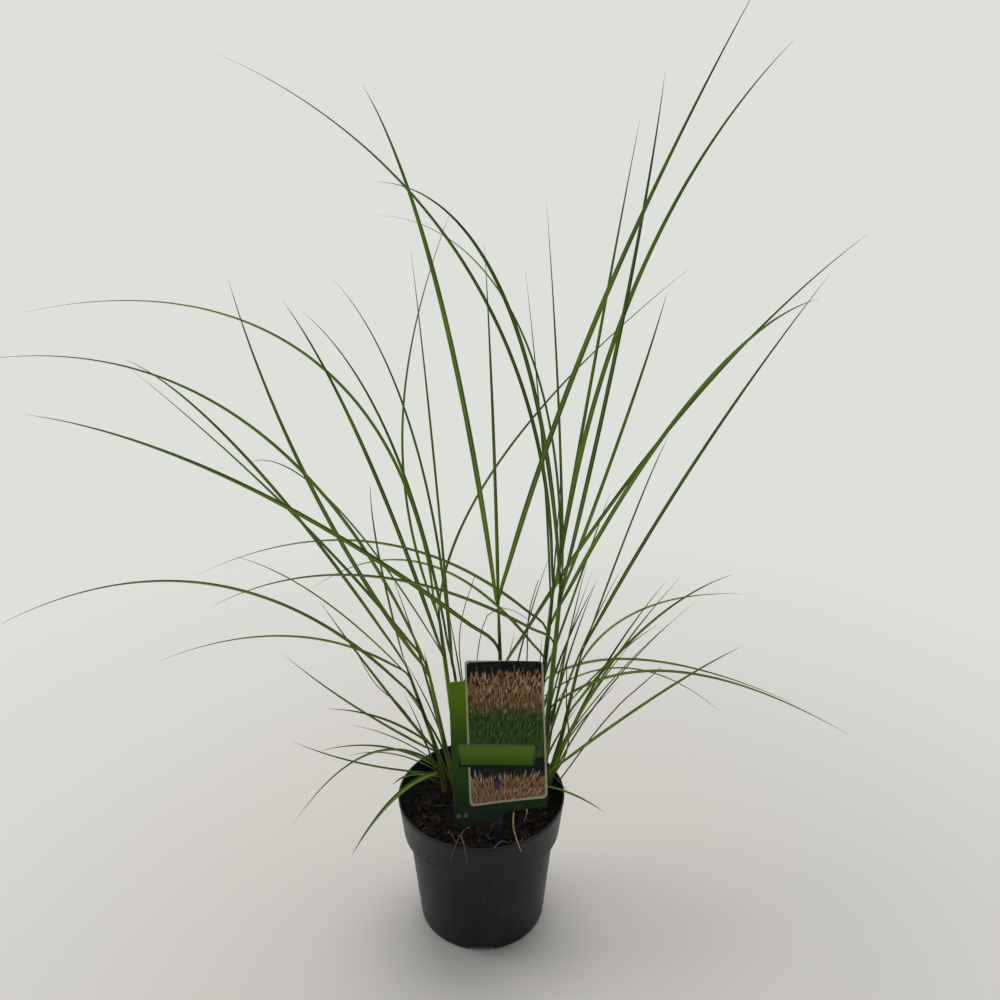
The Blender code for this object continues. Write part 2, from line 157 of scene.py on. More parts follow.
class PotSettings(bpy.types.PropertyGroup):
    """Sizes and colours of the nursery pot."""

    steps: bpy.props.IntProperty(
        name="Steps", description="Flats round the pot", default=128, min=32)
    plastic: bpy.props.FloatVectorProperty(
        name="Plastic", description="Colour of the clean plastic", subtype="COLOR",
        size=4, default=(0.0055, 0.0075, 0.012, 1.0))
    dust: bpy.props.FloatVectorProperty(
        name="Dust", description="Colour of the soil dust on it", subtype="COLOR",
        size=4, default=(0.11, 0.11, 0.11, 1.0))


class SoilSettings(bpy.types.PropertyGroup):
    """Sizes, counts and colours of the potting soil."""

    lump_height: bpy.props.FloatProperty(
        name="Lump height", description="How far lumps stand up", subtype="DISTANCE",
        unit="LENGTH", default=8 * MM)
    crumbs: bpy.props.IntProperty(
        name="Crumbs", description="Loose crumbs on the surface", default=1100)
    chips: bpy.props.IntProperty(
        name="Bark chips", description="Flat chips of bark on the surface", default=90)
    rootlets: bpy.props.IntProperty(
        name="Rootlets", description="Pale fibres lying on the surface", default=60)
    dark: bpy.props.FloatVectorProperty(
        name="Moist peat", description="Colour of moist peat", subtype="COLOR",
        size=4, default=(0.0035, 0.0028, 0.0024, 1.0))
    light: bpy.props.FloatVectorProperty(
        name="Dry peat", description="Colour of drying peat", subtype="COLOR",
        size=4, default=(0.026, 0.017, 0.011, 1.0))


class GrassSettings(bpy.types.PropertyGroup):
    """Sizes and colours of the stalks and blades."""

    deep: bpy.props.FloatVectorProperty(
        name="Deep green", description="Colour of a grown blade", subtype="COLOR",
        size=4, default=(0.010, 0.042, 0.006, 1.0))
    young: bpy.props.FloatVectorProperty(
        name="Young green", description="Colour of a young or thin stretch", subtype="COLOR",
        size=4, default=(0.150, 0.260, 0.012, 1.0))
    midrib: bpy.props.FloatVectorProperty(
        name="Midrib", description="Colour of the pale rib", subtype="COLOR",
        size=4, default=(0.30, 0.42, 0.07, 1.0))
    dry: bpy.props.FloatVectorProperty(
        name="Dry tip", description="Colour of a withered tip", subtype="COLOR",
        size=4, default=(0.070, 0.042, 0.028, 1.0))
    slimness: bpy.props.FloatProperty(
        name="Slimness", description="Finished width of a blade against its solid in the frame",
        default=0.76, min=0.3, max=1.0)
    hug: bpy.props.FloatProperty(
        name="Sheath hug", description="How far a blade's foot runs down the stalk",
        subtype="DISTANCE", unit="LENGTH", default=26 * MM)
    young_shoots: bpy.props.IntProperty(
        name="Young shoots", description="Thin new shoots round the stalks", default=26)


class LabelSettings(bpy.types.PropertyGroup):
    """Colours of the picture label."""

    top_green: bpy.props.FloatVectorProperty(
        name="Top green", description="Card colour at the top", subtype="COLOR",
        size=4, default=(0.13, 0.215, 0.006, 1.0))
    foot_green: bpy.props.FloatVectorProperty(
        name="Foot green", description="Card colour at the foot", subtype="COLOR",
        size=4, default=(0.006, 0.020, 0.003, 1.0))
    border: bpy.props.FloatVectorProperty(
        name="Border", description="Colour of the line round the picture", subtype="COLOR",
        size=4, default=(0.46, 0.43, 0.31, 1.0))
    plume: bpy.props.FloatVectorProperty(
        name="Plume", description="Colour of the pictured flower plumes", subtype="COLOR",
        size=4, default=(0.38, 0.20, 0.095, 1.0))


class StageSettings(bpy.types.PropertyGroup):
    """Camera, lights and floor."""

    lens: bpy.props.FloatProperty(
        name="Lens", description="Focal length in mm", default=36.0)
    camera_place: bpy.props.FloatVectorProperty(
        name="Camera", description="Where the camera stands", subtype="TRANSLATION",
        unit="LENGTH", size=3, default=(0.019, -0.833, 0.816))
    camera_dip: bpy.props.FloatProperty(
        name="Dip", description="How far the camera looks down", subtype="ANGLE",
        unit="ROTATION", default=math.radians(22.5))
    floor: bpy.props.FloatVectorProperty(
        name="Floor", description="Colour of the floor", subtype="COLOR",
        size=4, default=(0.61, 0.585, 0.56, 1.0))
    tent: bpy.props.FloatVectorProperty(
        name="Tent", description="Colour of the bright tent behind the object", subtype="COLOR",
        size=4, default=(0.735, 0.745, 0.705, 1.0))


# ---------------------------------------------------------------- small helpers


def settings(name):
    """One group of settings, from the scene."""
    return getattr(bpy.context.scene, "grass_" + name)


def deselect_all():
    for item in bpy.context.view_layer.objects:
        item.select_set(False)


def work_on(piece):
    """Select one piece alone and make it the active one."""
    deselect_all()
    piece.select_set(True)
    bpy.context.view_layer.objects.active = piece


def select_points(piece, wanted):
    """In edit mode, select just the points whose place passes the test."""
    bpy.ops.mesh.select_mode(type="VERT")
    bpy.ops.mesh.select_all(action="DESELECT")
    shape = bmesh.from_edit_mesh(piece.data)
    for point in shape.verts:
        point.select_set(wanted(point.co))
    shape.select_flush_mode()
    bmesh.update_edit_mesh(piece.data)


def apply_modifier(piece, kind, **values):
    """Add a modifier, set it up and apply it."""
    work_on(piece)
    bpy.ops.object.modifier_add(type=kind)
    added = piece.modifiers[-1]
    for key, value in values.items():
        setattr(added, key, value)
    bpy.ops.object.modifier_apply(modifier=added.name)


def settle(piece):
    """Put a piece's place, turn and size into its mesh."""
    work_on(piece)
    bpy.ops.object.transform_apply(location=True, rotation=True, scale=True)


def smooth(piece, degrees=40):
    work_on(piece)
    bpy.ops.object.shade_smooth_by_angle(angle=math.radians(degrees))


def spin_profile(name, profile, steps):
    """Turn a profile of (radius, height) points round the upright axis into one skin."""
    deselect_all()
    bpy.ops.mesh.primitive_plane_add(size=1)
    piece = name_piece(bpy.context.object, name)
    bpy.ops.object.mode_set(mode="EDIT")
    bpy.ops.mesh.delete(type="VERT")
    shape = bmesh.from_edit_mesh(piece.data)
    points = [shape.verts.new((radius, 0, height)) for radius, height in profile]
    for first, second in zip(points, points[1:]):
        shape.edges.new((first, second))
    bmesh.update_edit_mesh(piece.data)
    bpy.ops.mesh.select_all(action="SELECT")
    bpy.ops.mesh.spin(steps=steps, angle=2 * math.pi, center=(0, 0, 0), axis=(0, 0, 1))
    bpy.ops.mesh.select_all(action="SELECT")
    bpy.ops.mesh.remove_doubles(threshold=0.02 * MM)
    bpy.ops.mesh.normals_make_consistent(inside=False)
    bpy.ops.object.mode_set(mode="OBJECT")
    return piece


def cut_with(piece, cutter):
    """Cut a piece with a cutter, and drop the cutter."""
    apply_modifier(piece, "BOOLEAN", operation="DIFFERENCE", solver="EXACT", object=cutter)
    drop(cutter)


def name_piece(piece, name):
    piece.name = name
    piece.data.name = name
    return piece


def finish_piece(piece, materials, replaced=()):
    """Give a piece its materials, slot and body, and hide the nodes that it stands for."""
    if not piece.data.polygons:
        raise RuntimeError(piece.name + " has no faces")
    while len(piece.data.materials) < len(materials):
        piece.data.materials.append(None)
    for index, material in enumerate(materials):
        piece.data.materials[index] = material
    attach(piece, BODY)
    if replaced:
        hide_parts(*replaced)


def mark(piece, name, value):
    """Store one number on every point of a piece, for its material to read."""
    layer = piece.data.attributes.new(name, "FLOAT", "POINT")
    layer.data.foreach_set("value", [value] * len(piece.data.vertices))


def copy_of(pattern, name):
    """A copy with a mesh of its own, in the scene."""
    made = pattern.copy()
    made.data = pattern.data.copy()
    bpy.context.scene.collection.objects.link(made)
    return name_piece(made, name)


def join_pieces(pieces, name):
    """Join pieces into the first one."""
    deselect_all()
    for piece in pieces:
        piece.select_set(True)
    bpy.context.view_layer.objects.active = pieces[0]
    bpy.ops.object.join()
    joined = bpy.context.view_layer.objects.active
    return name_piece(joined, name)


def drop(item):
    bpy.data.objects.remove(item, do_unlink=True)


# ---------------------------------------------------------------- node helpers


class Wiring:
    """Adds shader nodes to one node tree and joins them up."""

    def __init__(self, tree):
        self.tree = tree

    def node(self, kind, **values):
        made = self.tree.nodes.new(kind)
        for key, value in values.items():
            setattr(made, key, value)
        return made

    def feed(self, socket, value):
        """Join an output to a socket, or set the socket's own value."""
        if isinstance(value, bpy.types.NodeSocket):
            self.tree.links.new(value, socket)
        else:
            socket.default_value = value

    def maths(self, operation, *values, clamp=False):
        made = self.node("ShaderNodeMath", operation=operation, use_clamp=clamp)
        for socket, value in zip(made.inputs, values):
            self.feed(socket, value)
        return made.outputs[0]

    def step(self, value, low, high, to_low=0.0, to_high=1.0):
        """Carry a value smoothly from one range to another, held at both ends."""
        made = self.node("ShaderNodeMapRange", interpolation_type="SMOOTHSTEP")
        for name, number in (("From Min", low), ("From Max", high), ("To Min", to_low), ("To Max", to_high)):
            self.feed(made.inputs[name], number)
        self.feed(made.inputs["Value"], value)
        return made.outputs["Result"]

    def mix(self, share, first, second, blend="MIX"):
        made = self.node("ShaderNodeMix", data_type="RGBA", blend_type=blend)
        self.feed(made.inputs[0], share)
        self.feed(made.inputs[6], first)
        self.feed(made.inputs[7], second)
        return made.outputs[2]

    def noise(self, place, scale, detail=3.0, roughness=0.55):
        made = self.node("ShaderNodeTexNoise")
        self.feed(made.inputs["Vector"], place)
        self.feed(made.inputs["Scale"], scale)
        self.feed(made.inputs["Detail"], detail)
        self.feed(made.inputs["Roughness"], roughness)
        return made.outputs["Fac"]

    def cells(self, place, scale, feature="F1"):
        made = self.node("ShaderNodeTexVoronoi", feature=feature)
        self.feed(made.inputs["Vector"], place)
        self.feed(made.inputs["Scale"], scale)
        return made.outputs["Distance"]

    def combine(self, x, y, z):
        made = self.node("ShaderNodeCombineXYZ")
        for socket, value in zip(made.inputs, (x, y, z)):
            self.feed(socket, value)
        return made.outputs[0]

    def split(self, vector):
        made = self.node("ShaderNodeSeparateXYZ")
        self.feed(made.inputs[0], vector)
        return made.outputs

    def stretch(self, vector, scale):
        made = self.node("ShaderNodeVectorMath", operation="MULTIPLY")
        self.feed(made.inputs[0], vector)
        self.feed(made.inputs[1], scale)
        return made.outputs[0]

    def bump(self, height, strength, distance=1 * MM):
        made = self.node("ShaderNodeBump")
        self.feed(made.inputs["Strength"], strength)
        self.feed(made.inputs["Distance"], distance)
        self.feed(made.inputs["Height"], height)
        return made.outputs["Normal"]

    def place(self):
        """The point's place in metres, on the piece's own axes."""
        return self.node("ShaderNodeTexCoord").outputs["Object"]

    def map_place(self):
        """The point's place on the piece's own map: across, then along."""
        return self.node("ShaderNodeUVMap", uv_map=BLADE_MAP).outputs[0]

    def marked(self, name):
        made = self.node("ShaderNodeAttribute", attribute_name=name)
        return made.outputs["Fac"]

    def effect(self, name, **values):
        """Place a shared effect; its inputs are given by name, with _ for a space."""
        made = self.node("ShaderNodeGroup", node_tree=bpy.data.node_groups[name])
        for key, value in values.items():
            self.feed(made.inputs[key.replace("_", " ")], value)
        return made.outputs


def new_material(name):
    """An empty material with its shader: the wiring and the shader node."""
    made = bpy.data.materials.new(name)
    made.use_nodes = True
    return made, Wiring(made.node_tree), made.node_tree.nodes["Principled BSDF"]


def new_effect(name, inputs, outputs):
    """An empty shared effect: its wiring, its inputs and its outputs."""
    tree = bpy.data.node_groups.new(name, "ShaderNodeTree")
    for label, kind, default in inputs:
        socket = tree.interface.new_socket(label, in_out="INPUT", socket_type=kind)
        if default is not None:
            socket.default_value = default
    for label, kind in outputs:
        tree.interface.new_socket(label, in_out="OUTPUT", socket_type=kind)
    wiring = Wiring(tree)
    return wiring, wiring.node("NodeGroupInput").outputs, wiring.node("NodeGroupOutput").inputs


NUMBER = "NodeSocketFloat"
VECTOR = "NodeSocketVector"
BLADE_MAP = "OFBake"


# ---------------------------------------------------------------- shared effects


def make_vein_effect():
    """Fine lengthwise veins and slow patches of tone, as on grass, straw and bark."""
    wiring, given, out = new_effect(
        "Veins",
        [("Place", VECTOR, None), ("Across", NUMBER, 40.0), ("Along", NUMBER, 2.0), ("Shift", NUMBER, 0.0)],
        [("Vein", NUMBER), ("Patch", NUMBER)],
    )
    x, y, z = wiring.split(given["Place"])
    moved = wiring.maths("ADD", z, given["Shift"])
    wide = wiring.combine(
        wiring.maths("MULTIPLY", x, given["Across"]),
        wiring.maths("MULTIPLY", y, given["Along"]),
        moved,
    )
    slow = wiring.combine(
        wiring.maths("MULTIPLY", x, 1.5),
        wiring.maths("MULTIPLY", y, wiring.maths("MULTIPLY", given["Along"], 2.0)),
        moved,
    )
    wiring.feed(out["Vein"], wiring.noise(wide, 1.0, 2.0))
    wiring.feed(out["Patch"], wiring.noise(slow, 1.0, 3.0))


def make_dust_effect():
    """Soil dust: thin smears, scattered specks and fine scratches."""
    wiring, given, out = new_effect(
        "Dust",
        [("Place", VECTOR, None), ("Smear", NUMBER, 0.3), ("Specks", NUMBER, 0.2)],
        [("Mask", NUMBER), ("Scratch", NUMBER)],
    )
    cloud = wiring.noise(given["Place"], 38.0, 5.0, 0.65)
    smear = wiring.maths("MULTIPLY", wiring.step(cloud, 0.48, 0.78), given["Smear"])
    grain = wiring.noise(given["Place"], 900.0, 2.0, 0.6)
    speck_size = wiring.maths("MULTIPLY", wiring.step(grain, 0.40, 0.75), given["Specks"])
    cell = wiring.cells(given["Place"], 260.0)
    speck = wiring.step(cell, wiring.maths("MULTIPLY", speck_size, 0.5), 0.0)
    wiring.feed(out["Mask"], wiring.maths("MAXIMUM", smear, speck, clamp=True))
    slanted = wiring.stretch(given["Place"], (260.0, 260.0, 14.0))
    wiring.feed(out["Scratch"], wiring.step(wiring.noise(slanted, 1.0, 2.0), 0.62, 0.74))


def make_panel_effect():
    """How far a point lies outside a rectangle with rounded corners, in mm (below 0 inside)."""
    wiring, given, out = new_effect(
        "Panel",
        [("Across", NUMBER, 0.0), ("Up", NUMBER, 0.0), ("Left", NUMBER, 0.0), ("Right", NUMBER, 1.0),
         ("Foot", NUMBER, 0.0), ("Top", NUMBER, 1.0), ("Corner", NUMBER, 2.0)],
        [("Outside", NUMBER)],
    )

    def beyond(value, low, high):
        middle = wiring.maths("MULTIPLY", wiring.maths("ADD", low, high), 0.5)
        half = wiring.maths("MULTIPLY", wiring.maths("SUBTRACT", high, low), 0.5)
        off = wiring.maths("ABSOLUTE", wiring.maths("SUBTRACT", value, middle))
        return wiring.maths("ADD", wiring.maths("SUBTRACT", off, half), given["Corner"])

    over_x = beyond(given["Across"], given["Left"], given["Right"])
    over_y = beyond(given["Up"], given["Foot"], given["Top"])
    out_x = wiring.maths("MAXIMUM", over_x, 0.0)
    out_y = wiring.maths("MAXIMUM", over_y, 0.0)
    squares = wiring.maths("ADD", wiring.maths("POWER", out_x, 2.0), wiring.maths("POWER", out_y, 2.0))
    far = wiring.maths("SQRT", squares)
    near = wiring.maths("MINIMUM", wiring.maths("MAXIMUM", over_x, over_y), 0.0)
    wiring.feed(out["Outside"], wiring.maths("SUBTRACT", wiring.maths("ADD", far, near), given["Corner"]))


# ---------------------------------------------------------------- materials


def make_pot_material():
    """Thin black plastic: satin, dusty, scuffed, with faint moulding lines."""
    look = settings("pot")
    made, wiring, shader = new_material("black_plastic")
    place = wiring.place()
    height = wiring.split(place)[2]
    low = wiring.step(height, 0.05, 0.0, 0.12, 0.40)
    dust = wiring.effect("Dust", Place=place, Smear=low, Specks=0.55)
    shade = wiring.mix(wiring.noise(place, 12.0), look.plastic, (0.011, 0.014, 0.021, 1.0))
    worn = wiring.mix(wiring.maths("MULTIPLY", dust["Scratch"], 0.25), shade, (0.05, 0.055, 0.06, 1.0))
    wiring.feed(shader.inputs["Base Color"], wiring.mix(dust["Mask"], worn, look.dust))
    fine = wiring.noise(place, 420.0, 3.0)
    base_gloss = wiring.step(fine, 0.3, 0.7, 0.36, 0.50)
    dulled = wiring.maths("MULTIPLY", dust["Mask"], 0.4)
    wiring.feed(shader.inputs["Roughness"], wiring.maths("ADD", base_gloss, dulled))
    ripple = wiring.noise(wiring.stretch(place, (1.0, 1.0, 4.0)), 60.0, 2.0)
    relief = wiring.maths("ADD", wiring.maths("MULTIPLY", ripple, 0.6), wiring.maths("MULTIPLY", fine, 0.12))
    wiring.feed(shader.inputs["Normal"], wiring.bump(relief, 0.35, 0.6 * MM))
    shader.inputs["Specular IOR Level"].default_value = 0.22
    return made


def make_peat_material(name, dark, light, grain):
    """Peat, crumbs and bark: dark and moist, paler where they dry."""
    made, wiring, shader = new_material(name)
    place = wiring.place()
    clump = wiring.noise(place, grain, 6.0, 0.7)
    fine = wiring.noise(place, grain * 9, 4.0, 0.7)
    dryness = wiring.maths("MULTIPLY", wiring.step(clump, 0.42, 0.75), wiring.step(fine, 0.35, 0.7))
    wiring.feed(shader.inputs["Base Color"], wiring.mix(dryness, dark, light))
    wiring.feed(shader.inputs["Roughness"], wiring.step(fine, 0.3, 0.7, 0.95, 0.72))
    relief = wiring.maths("ADD", clump, wiring.maths("MULTIPLY", fine, 0.6))
    wiring.feed(shader.inputs["Normal"], wiring.bump(relief, 0.9, 1.2 * MM))
    shader.inputs["Specular IOR Level"].default_value = 0.12
    return made


def make_straw_material():
    """Dead leaf bits and pale rootlets; the mark `tone` runs from brown to cream."""
    made, wiring, shader = new_material("dry_straw")
    place = wiring.place()
    spots = wiring.noise(place, 220.0, 4.0)
    tone = wiring.marked("tone")
    body = wiring.mix(tone, (0.045, 0.022, 0.012, 1.0), (0.42, 0.34, 0.20, 1.0))
    wiring.feed(shader.inputs["Base Color"], wiring.mix(
        wiring.step(spots, 0.45, 0.75), body, wiring.mix(0.5, body, (0.02, 0.013, 0.008, 1.0))))
    wiring.feed(shader.inputs["Roughness"], wiring.step(spots, 0.3, 0.7, 0.6, 0.85))
    wiring.feed(shader.inputs["Normal"], wiring.bump(spots, 0.5, 0.3 * MM))
    shader.inputs["Specular IOR Level"].default_value = 0.2
    return made


def make_blade_material():
    """A grass blade: pale midrib, fine veins, one half painted lighter as if lit, painted highlights along
    the edges, young stretches, withered tip.
    """
    look = settings("grass")
    made, wiring, shader = new_material("grass_blade")
    across, along = wiring.split(wiring.map_place())[:2]
    tone = wiring.marked("tone")
    shifted = wiring.combine(across, along, wiring.maths("MULTIPLY", tone, 17.0))
    veins = wiring.effect("Veins", Place=shifted, Across=16.0, Along=3.0)
    youth = wiring.maths("ADD", tone, wiring.step(veins["Patch"], 0.35, 0.7, -0.3, 0.35))
    # Painted light: one half of the blade, across its width, is painted up to 0.30 lighter, standing in for
    # the lit side of the fold
    half = wiring.step(across, 0.44, 0.56, 0.0, 0.30)
    fresh_foot = wiring.step(along, 0.3, 0.0, 0.0, 0.2)
    lean = wiring.maths("ADD", wiring.maths("ADD", youth, half), fresh_foot, clamp=True)
    green = wiring.mix(lean, look.deep, look.young)
    vein = wiring.step(veins["Vein"], 0.4, 0.65, 0.0, 0.35)
    veined = wiring.mix(vein, green, wiring.mix(0.5, green, look.young))
    off_rib = wiring.maths("ABSOLUTE", wiring.maths("SUBTRACT", across, 0.5))
    rib = wiring.maths("MULTIPLY", wiring.step(off_rib, 0.10, 0.05), wiring.step(along, 0.85, 0.5))
    ribbed = wiring.mix(wiring.maths("MULTIPLY", rib, 0.7), veined, look.midrib)
    # Painted highlight: both edges of the blade are painted a paler yellow-green, as if they caught the
    # light
    edge = wiring.step(off_rib, 0.42, 0.5, 0.0, 0.5)
    with_edge_highlight = wiring.mix(edge, ribbed, wiring.mix(0.5, look.young, look.midrib))
    withered = wiring.maths("ADD", along, wiring.step(veins["Patch"], 0.3, 0.7, -0.05, 0.05))
    alive = wiring.maths("SUBTRACT", 0.99, wiring.marked("dry"))
    tip = wiring.step(withered, alive, wiring.maths("ADD", alive, 0.12))
    wiring.feed(shader.inputs["Base Color"], wiring.mix(tip, with_edge_highlight, look.dry))
    wiring.feed(shader.inputs["Roughness"], wiring.step(veins["Vein"], 0.3, 0.7, 0.34, 0.52))
    relief = wiring.maths("SUBTRACT", veins["Vein"], wiring.maths("MULTIPLY", rib, 0.4))
    wiring.feed(shader.inputs["Normal"], wiring.bump(relief, 0.4, 0.25 * MM))
    shader.inputs["Specular IOR Level"].default_value = 0.22
    return made


def make_stalk_material():
    """Leaf sheaths round the stalk: straw and purple at the foot, green above."""
    look = settings("grass")
    made, wiring, shader = new_material("grass_stalk")
    place = wiring.place()
    height = wiring.split(place)[2]
    streaks = wiring.noise(wiring.stretch(place, (900.0, 900.0, 14.0)), 1.0, 3.0)
    patch = wiring.noise(wiring.stretch(place, (60.0, 60.0, 18.0)), 1.0, 2.0)
    climb = wiring.maths("ADD", height, wiring.step(patch, 0.3, 0.7, -0.02, 0.02))
    foot = wiring.mix(wiring.step(patch, 0.4, 0.65), (0.20, 0.15, 0.06, 1.0), (0.05, 0.022, 0.015, 1.0))
    green = wiring.mix(wiring.step(patch, 0.35, 0.7), look.deep, look.young)
    body = wiring.mix(wiring.step(climb, SOIL_TOP, SOIL_TOP + 6 * CM), foot, green)
    striped = wiring.mix(wiring.step(streaks, 0.42, 0.7, 0.0, 0.5), body, wiring.mix(0.4, body, look.midrib))
    wiring.feed(shader.inputs["Base Color"], striped)
    wiring.feed(shader.inputs["Roughness"], wiring.step(streaks, 0.3, 0.7, 0.38, 0.55))
    wiring.feed(shader.inputs["Normal"], wiring.bump(streaks, 0.4, 0.3 * MM))
    shader.inputs["Specular IOR Level"].default_value = 0.22
    return made


def label_places(wiring):
    """Across and up on the label's card, in mm from where the stake enters the soil."""
    mapping = wiring.node("ShaderNodeMapping", vector_type="TEXTURE")
    wiring.feed(mapping.inputs["Vector"], wiring.place())
    wiring.feed(mapping.inputs["Location"], STAKE_FOOT)
    wiring.feed(mapping.inputs["Rotation"], LABEL_TURN.to_euler("XYZ"))
    wiring.feed(mapping.inputs["Scale"], (MM, MM, MM))
    return wiring.split(mapping.outputs[0])


def panel(wiring, across, up, left, right, foot, top, corner):
    """A mask that is 1 inside a rounded rectangle on the card."""
    outside = wiring.effect(
        "Panel", Across=across, Up=up, Left=left, Right=right, Foot=foot, Top=top, Corner=corner)
    return wiring.step(outside["Outside"], 0.25, -0.25)


def paint_plumes(wiring, across, up, root, look):
    """Feathery flower plumes fanning up from a root below: their colour and their height map."""
    fan = wiring.maths("DIVIDE", across, wiring.maths("SUBTRACT", up, root))
    wide = wiring.combine(wiring.maths("MULTIPLY", fan, 42.0), wiring.maths("MULTIPLY", up, 0.06), 0.0)
    fine = wiring.combine(wiring.maths("MULTIPLY", fan, 120.0), wiring.maths("MULTIPLY", up, 0.14), 3.0)
    feather = wiring.noise(wide, 1.0, 4.0, 0.65)
    hair = wiring.noise(fine, 1.0, 3.0, 0.6)
    shade = wiring.mix(wiring.step(hair, 0.40, 0.58), (0.030, 0.016, 0.004, 1.0), look.plume)
    light = wiring.maths("MULTIPLY", wiring.step(feather, 0.46, 0.60), wiring.step(hair, 0.46, 0.62))
    return wiring.mix(light, shade, (0.62, 0.46, 0.31, 1.0)), feather


def paint_grass(wiring, across, up, root):
    """Green grass leaves fanning up from a root below."""
    fan = wiring.maths("DIVIDE", across, wiring.maths("SUBTRACT", up, root))
    place = wiring.combine(wiring.maths("MULTIPLY", fan, 130.0), wiring.maths("MULTIPLY", up, 0.13), 7.0)
    strands = wiring.noise(place, 1.0, 4.0, 0.65)
    dark = wiring.mix(
        wiring.step(strands, 0.36, 0.52), (0.004, 0.014, 0.003, 1.0), (0.030, 0.085, 0.012, 1.0))
    return wiring.mix(wiring.step(strands, 0.52, 0.66), dark, (0.15, 0.24, 0.055, 1.0))


def paint_picture(wiring, across, up, look):
    """A made-up picture of flowering grass: two beds of plumes over green, against the dark."""
    spread = wiring.noise(wiring.combine(across, up, 0.0), 0.20, 4.0, 0.6)
    level = wiring.maths("ADD", up, wiring.maths("MULTIPLY", spread, 56.0))
    plumes, feather = paint_plumes(wiring, across, up, -60.0, look)
    stems = wiring.mix(0.45, plumes, (0.15, 0.085, 0.018, 1.0))
    grass = paint_grass(wiring, across, up, 20.0)
    gloom = wiring.noise(wiring.combine(across, up, 5.0), 0.30, 4.0)
    night = wiring.mix(wiring.step(gloom, 0.5, 0.75), (0.003, 0.007, 0.006, 1.0), (0.028, 0.042, 0.022, 1.0))
    bed = wiring.mix(wiring.step(level, 156.0, 170.0), grass, stems)
    bed = wiring.mix(wiring.step(level, 170.0, 186.0), bed, plumes)
    crest = wiring.maths("ADD", up, wiring.maths("MULTIPLY", feather, -60.0))
    upper = wiring.mix(wiring.step(crest, 137.0, 143.0), bed, night)
    low_plumes, low_feather = paint_plumes(wiring, across, up, -30.0, look)
    low_crest = wiring.maths("ADD", up, wiring.maths("MULTIPLY", low_feather, -40.0))
    lower = wiring.mix(wiring.step(low_crest, 47.0, 52.0), low_plumes, night)
    return wiring.mix(wiring.step(up, 88.0, 87.0), upper, lower)


def paint_card(wiring, across, up, look):
    """The card's own greens: yellow-green at the top, dark at the foot."""
    low = wiring.mix(wiring.step(up, 26.0, 100.0), look.foot_green, (0.022, 0.085, 0.003, 1.0))
    return wiring.mix(wiring.step(up, 95.0, 158.0), low, look.top_green)


def make_print_material():
    """The label's printed front: green card, grass picture and a bare name plate."""
    look = settings("label")
    made, wiring, shader = new_material("label_print")
    across, up = label_places(wiring)[:2]
    foot = wiring.maths("ADD", 43.0, wiring.maths("MULTIPLY", across, 0.09))
    high_frame = panel(wiring, across, up, -27.0, 49.0, 60.0, 184.0, 5.0)
    low_frame = panel(wiring, across, up, -27.0, 49.0, foot, 120.0, 5.0)
    high_inside = panel(wiring, across, up, -25.2, 47.3, 60.0, 182.0, 4.0)
    low_inside = panel(wiring, across, up, -25.2, 47.3, wiring.maths("ADD", foot, 2.0), 120.0, 4.0)
    border = wiring.maths("MAXIMUM", high_frame, low_frame)
    inside = wiring.maths("MAXIMUM", high_inside, low_inside)
    printed = wiring.mix(border, paint_card(wiring, across, up, look), look.border)
    printed = wiring.mix(inside, printed, paint_picture(wiring, across, up, look))
    tilted = wiring.maths("ADD", up, wiring.maths("MULTIPLY", across, 0.045))
    plate_rim = panel(wiring, across, tilted, -36.5, 38.5, 78.2, 101.0, 2.0)
    plate = panel(wiring, across, tilted, -34.2, 36.2, 80.8, 98.8, 1.2)
    rim_shade = wiring.mix(
        wiring.step(tilted, 79.0, 100.0), (0.006, 0.009, 0.004, 1.0), (0.10, 0.15, 0.07, 1.0))
    plate_shade = wiring.mix(
        wiring.step(tilted, 80.0, 99.0), (0.045, 0.13, 0.006, 1.0), (0.12, 0.22, 0.016, 1.0))
    printed = wiring.mix(plate_rim, printed, rim_shade)
    printed = wiring.mix(plate, printed, plate_shade)
    for dot in (-38.0, -31.0):
        spot = panel(wiring, across, up, dot - 2.2, dot + 2.2, 30.0, 34.4, 2.1)
        printed = wiring.mix(wiring.maths("MULTIPLY", spot, 0.35), printed, (0.30, 0.38, 0.24, 1.0))
    dust = wiring.effect("Dust", Place=wiring.place(), Smear=0.10, Specks=0.2)
    wiring.feed(shader.inputs["Base Color"], wiring.mix(dust["Mask"], printed, (0.16, 0.13, 0.10, 1.0)))
    wiring.feed(shader.inputs["Roughness"], wiring.step(dust["Mask"], 0.0, 0.6, 0.30, 0.7))
    waves = wiring.noise(wiring.place(), 30.0, 2.0)
    wiring.feed(shader.inputs["Normal"], wiring.bump(waves, 0.15, 0.8 * MM))
    shader.inputs["Specular IOR Level"].default_value = 0.18
    return made


def make_card_back_material():
    """The label's unprinted back and cut edges."""
    look = settings("label")
    made, wiring, shader = new_material("label_back")
    dust = wiring.effect("Dust", Place=wiring.place(), Smear=0.25, Specks=0.4)
    paper = wiring.mix(0.8, look.top_green, (0.55, 0.58, 0.48, 1.0))
    wiring.feed(shader.inputs["Base Color"], wiring.mix(dust["Mask"], paper, (0.22, 0.18, 0.13, 1.0)))
    wiring.feed(shader.inputs["Roughness"], wiring.step(dust["Mask"], 0.0, 0.6, 0.38, 0.75))
    wiring.feed(shader.inputs["Normal"], wiring.bump(wiring.noise(wiring.place(), 300.0), 0.1, 0.3 * MM))
    return made


